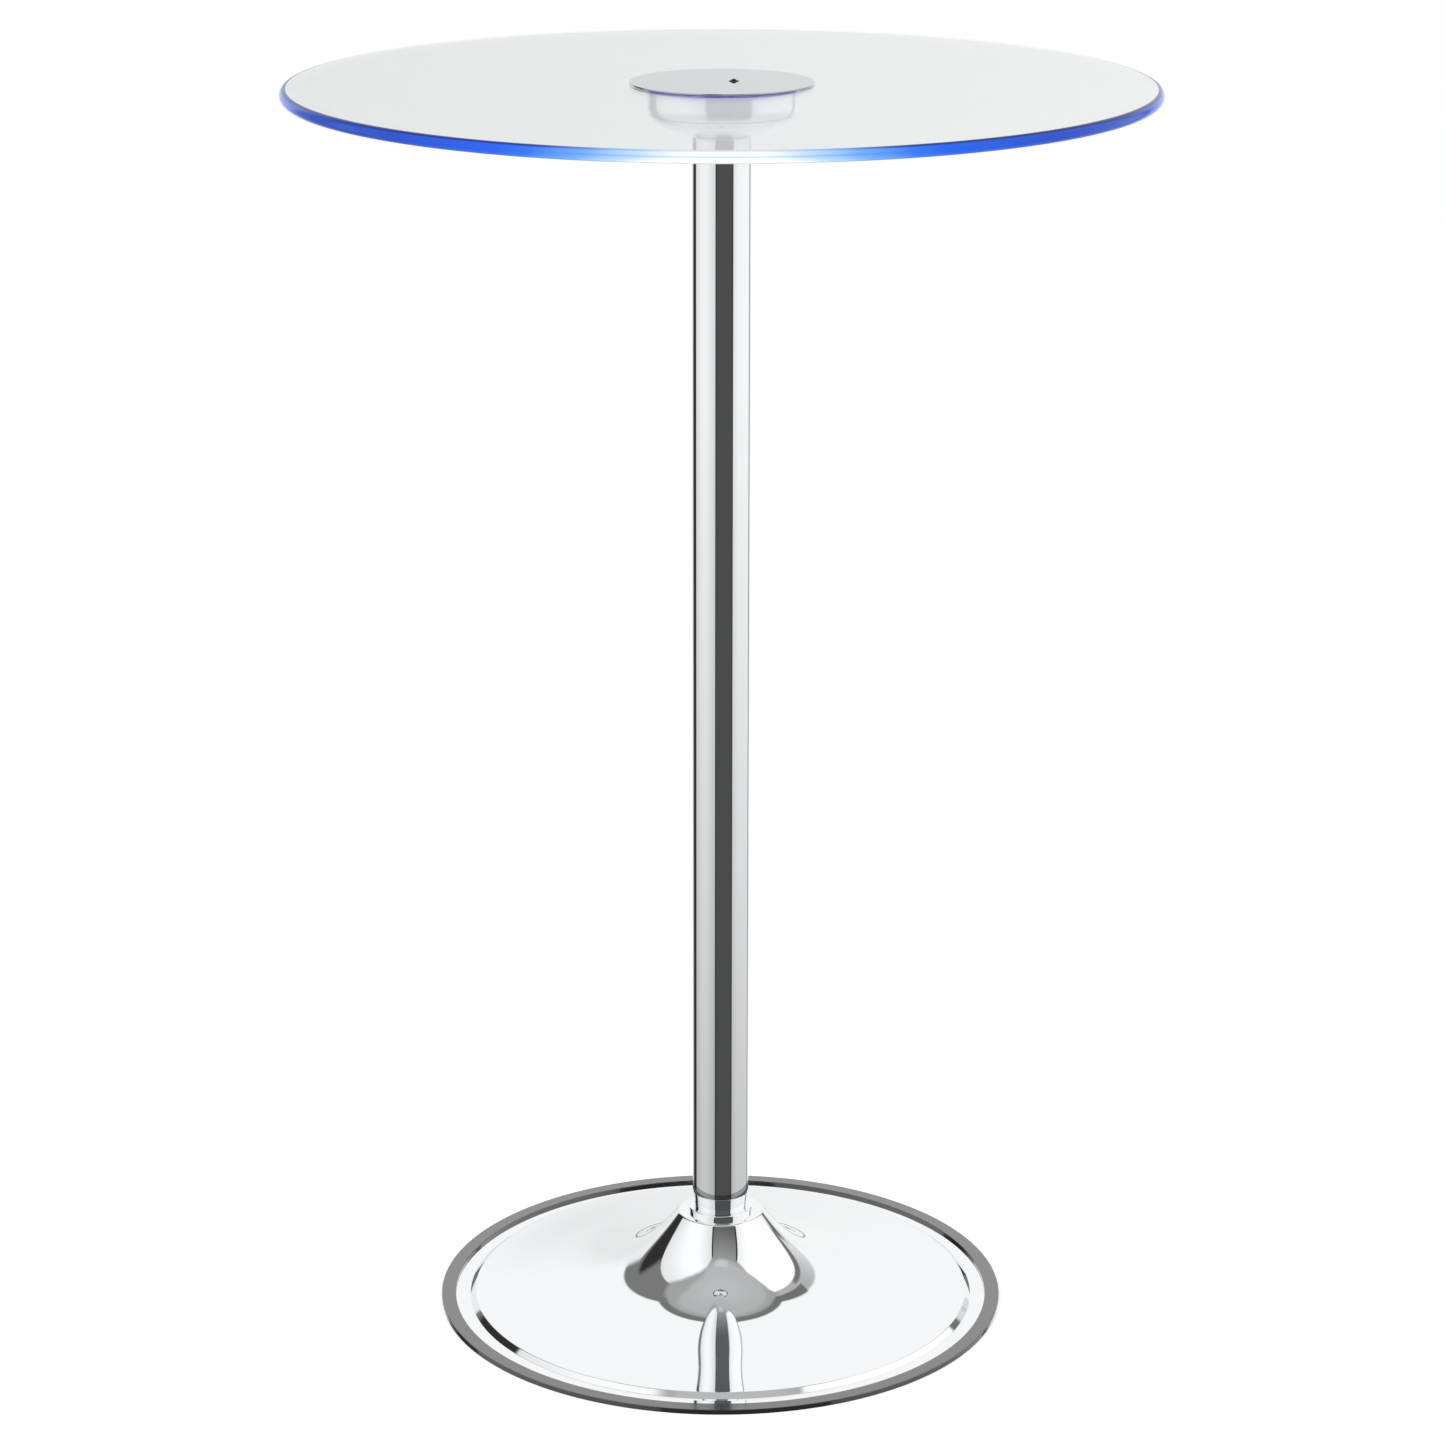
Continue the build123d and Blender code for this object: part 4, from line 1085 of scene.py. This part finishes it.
# %% Masks and panels
def inside(value, low, high, soft=1.0):
    """A mask that is 1 between low and high, in degrees, with soft borders."""
    start = between(room, value, low - soft / 2, low + soft / 2)
    stop = between(room, value, high - soft / 2, high + soft / 2, 1.0, 0.0)
    return times(room, start, stop)


def by_bearing(places, scale=1.0):
    """A value that changes with the bearing, through these (bearing, value) places."""
    stops = [((turn + 180) / 360, (value / scale,) * 3) for turn, value in places]
    return ramp(room, around_share, stops)


def below(places, soft=1.0):
    """A mask that is 1 below a line through these (bearing, height) places."""
    over = math_node(room, "SUBTRACT", rise_share, by_bearing(places, 90))
    return between(room, over, -soft / 180, soft / 180, 1.0, 0.0)


def laid(light, mask, brightness):
    """Lay a panel of this brightness over the light, where the mask says."""
    inputs = {"Factor": mask, "A": light, "B": brightness}
    return put(room, "Mix", {"data_type": "FLOAT"}, inputs).outputs[0]


def panel(light, across, upright, brightness):
    """Lay a panel between two bearings and two heights, each pair with its softness."""
    mask = times(room, inside(bearing, *across), inside(rise_angle, *upright))
    return laid(light, mask, brightness)


print("mask helpers ready")

# %% [markdown]
# ## Ceiling and backdrop
#
# The ceiling is a plain grey, a little lighter overhead. The backdrop hangs behind the table
# and ends in a dark rail. Its brightness falls off gently to one side near the table's height,
# which is what tints the glass from left to right.

# %% Ceiling and backdrop
light = spread(room, rise_angle, 62, 82, 0.46, 0.54)
light = panel(light, (-16, 22, 10), (66, 71, 2), 0.6)
shade_line = [(-180, 61), (-150, 63), (-118, 71), (-60, 74), (-24, 68), (0, 65.5), (46, 67)]
light = laid(light, below(shade_line + [(136, 64), (180, 61)], 4), 0.38)
backdrop_low = spread(room, toward["X"], -0.11, 0.11, 0.84, 0.96)
backdrop = laid(backdrop_low, between(room, rise_angle, 9, 25), 0.98)
behind = inside(aside, 142, 190, 2)
light = laid(light, times(room, behind, inside(rise_angle, -91, 59.5, 2)), 0.18)
light = laid(light, times(room, behind, inside(rise_angle, -91, 55.5)), backdrop)
print("ceiling and backdrop:", len(room.nodes), "nodes")

# %% [markdown]
# ## Corners of the studio
#
# Between the backdrop and the side panels the room itself shows as tall dark strips. They are
# what gives the bell of the base its dark flanks.

# %% Dark corners
right_shade = spread(room, rise_angle, 15, 40, 0.74, 0.46)
strips = [
    ((-150, -117, 2), (-91, 59, 4), 0.2),
    ((-139, -117, 4), (-91, 37, 6), 0.03),
    ((-152, -142, 2), (-8, 23, 8), 0.88),
    ((133, 149, 2), (-91, 58, 3), right_shade),
    ((141, 150, 2), (43, 59), 0.17),
    ((131, 138, 2), (11, 46, 4), 0.18),
    ((137, 144, 2), (-30, 12, 4), 0.13),
]
for across, upright, brightness in strips:
    light = panel(light, across, upright, brightness)
print("corners drawn as", len(strips), "strips")

# %% [markdown]
# ## Side panels
#
# A large white panel stands on each side. The left one is brightest in its middle, the right
# one is even. Both get weaker near the floor.

# %% Side panels
fading = spread(room, rise_angle, -23, -12, 0.62, 1.0)
fading = times(room, fading, spread(room, rise_angle, 12, 32, 1.0, 1.12))
left_glow = by_bearing([(-117, 0.74), (-85, 0.93), (-60, 0.95), (-24, 0.72)])
left_top = below([(-118, 58), (-100, 64), (-80, 67.5), (-60, 69.5), (-40, 69), (-24, 64.5)], 4)
right_glow = by_bearing([(46, 0.8), (70, 0.97), (134, 0.99)])
right_top = below([(46, 64), (75, 66.5), (105, 64.5), (125, 62), (134, 59)], 2)
for low, high, upper, glow in ((-118, -24, left_top, left_glow), (46, 133, right_top, right_glow)):
    mask = times(room, inside(bearing, low, high, 1.5), upper)
    light = laid(light, mask, times(room, glow, fading))
print("side panels:", len(room.nodes), "nodes")

# %% [markdown]
# ## The gap at the front
#
# The two panels leave a gap in front of the table. It is dark, lighter towards the ceiling,
# and the panels' frames border it in black. The last panel is the pale floor, which takes over
# far below the horizon.

# %% Front gap
light = panel(light, (-24, 46), (-91, 64, 3), 0.02)
gap_rise = spread(room, rise_angle, 10, 46, 0.075, 0.12)
gap_glow = math_node(room, "ADD", gap_rise, spread(room, rise_angle, 46, 64, 0.0, 0.2))
light = panel(light, (-20.5, 42.5, 1.5), (-91, 65, 3), gap_glow)
light = laid(light, between(room, rise_angle, -62, -27, 1.0, 0.0), 0.78)
print("front gap and far floor:", len(room.nodes), "nodes")

# %% [markdown]
# ## Which light each ray gets
#
# The same world has to be a mirror's room, a soft lamp and a white background. Light Path
# tells them apart: a ray that has met a polished piece sees the room drawn above, a ray from a
# dull surface sees an even light, and all others see plain white.

# %% What each kind of ray sees
rays = put(room, "LightPath").outputs
polished = math_node(room, "GREATER_THAN", rays["Glossy Depth"], 0.5)
dull = math_node(room, "GREATER_THAN", rays["Diffuse Depth"], 0.5)
even_light, plain_white = 0.6, 1.0
shown = laid(plain_white, dull, even_light)
shown = laid(shown, polished, light)
background = put(room, "Background", inputs={"Color": (1, 1, 1, 1), "Strength": shown})
put(room, "OutputWorld", inputs={"Surface": background.outputs[0]})
print("studio drawn with", len(room.nodes), "nodes")

# %% [markdown]
# ## Soft lamps
#
# The world alone would light everything without a shadow. Two large area lamps add a gentle
# direction, and the floor keeps a soft shadow under the base. They stay out of the
# reflections, which the studio already fills.


# %% Lamps
table_middle = Vector((0, 0, 0.5))


def soft_lamp(name, place, size, watts):
    """A square area lamp that looks at the middle of the table."""
    data = bpy.data.lights.new(name, "AREA")
    data.size, data.energy = size, watts
    lamp = add_object(name, data)
    aim = (table_middle - Vector(place)).to_track_quat("-Z", "Y")
    lamp.matrix_world = Matrix.Translation(place) @ aim.to_matrix().to_4x4()
    lamp.visible_glossy = lamp.visible_camera = lamp.visible_transmission = False
    print(name, place, watts, "W")


soft_lamp("key_lamp", (-2.2, -2.0, 3.8), 2.4, 45)
soft_lamp("fill_lamp", (2.4, -1.2, 3.4), 2.4, 22)

# %% [markdown]
# ## The view transform
#
# The render shows colours through the Standard view transform. The looks may not change the
# table's size.

# %% View transform
bpy.context.scene.view_settings.view_transform = "Standard"
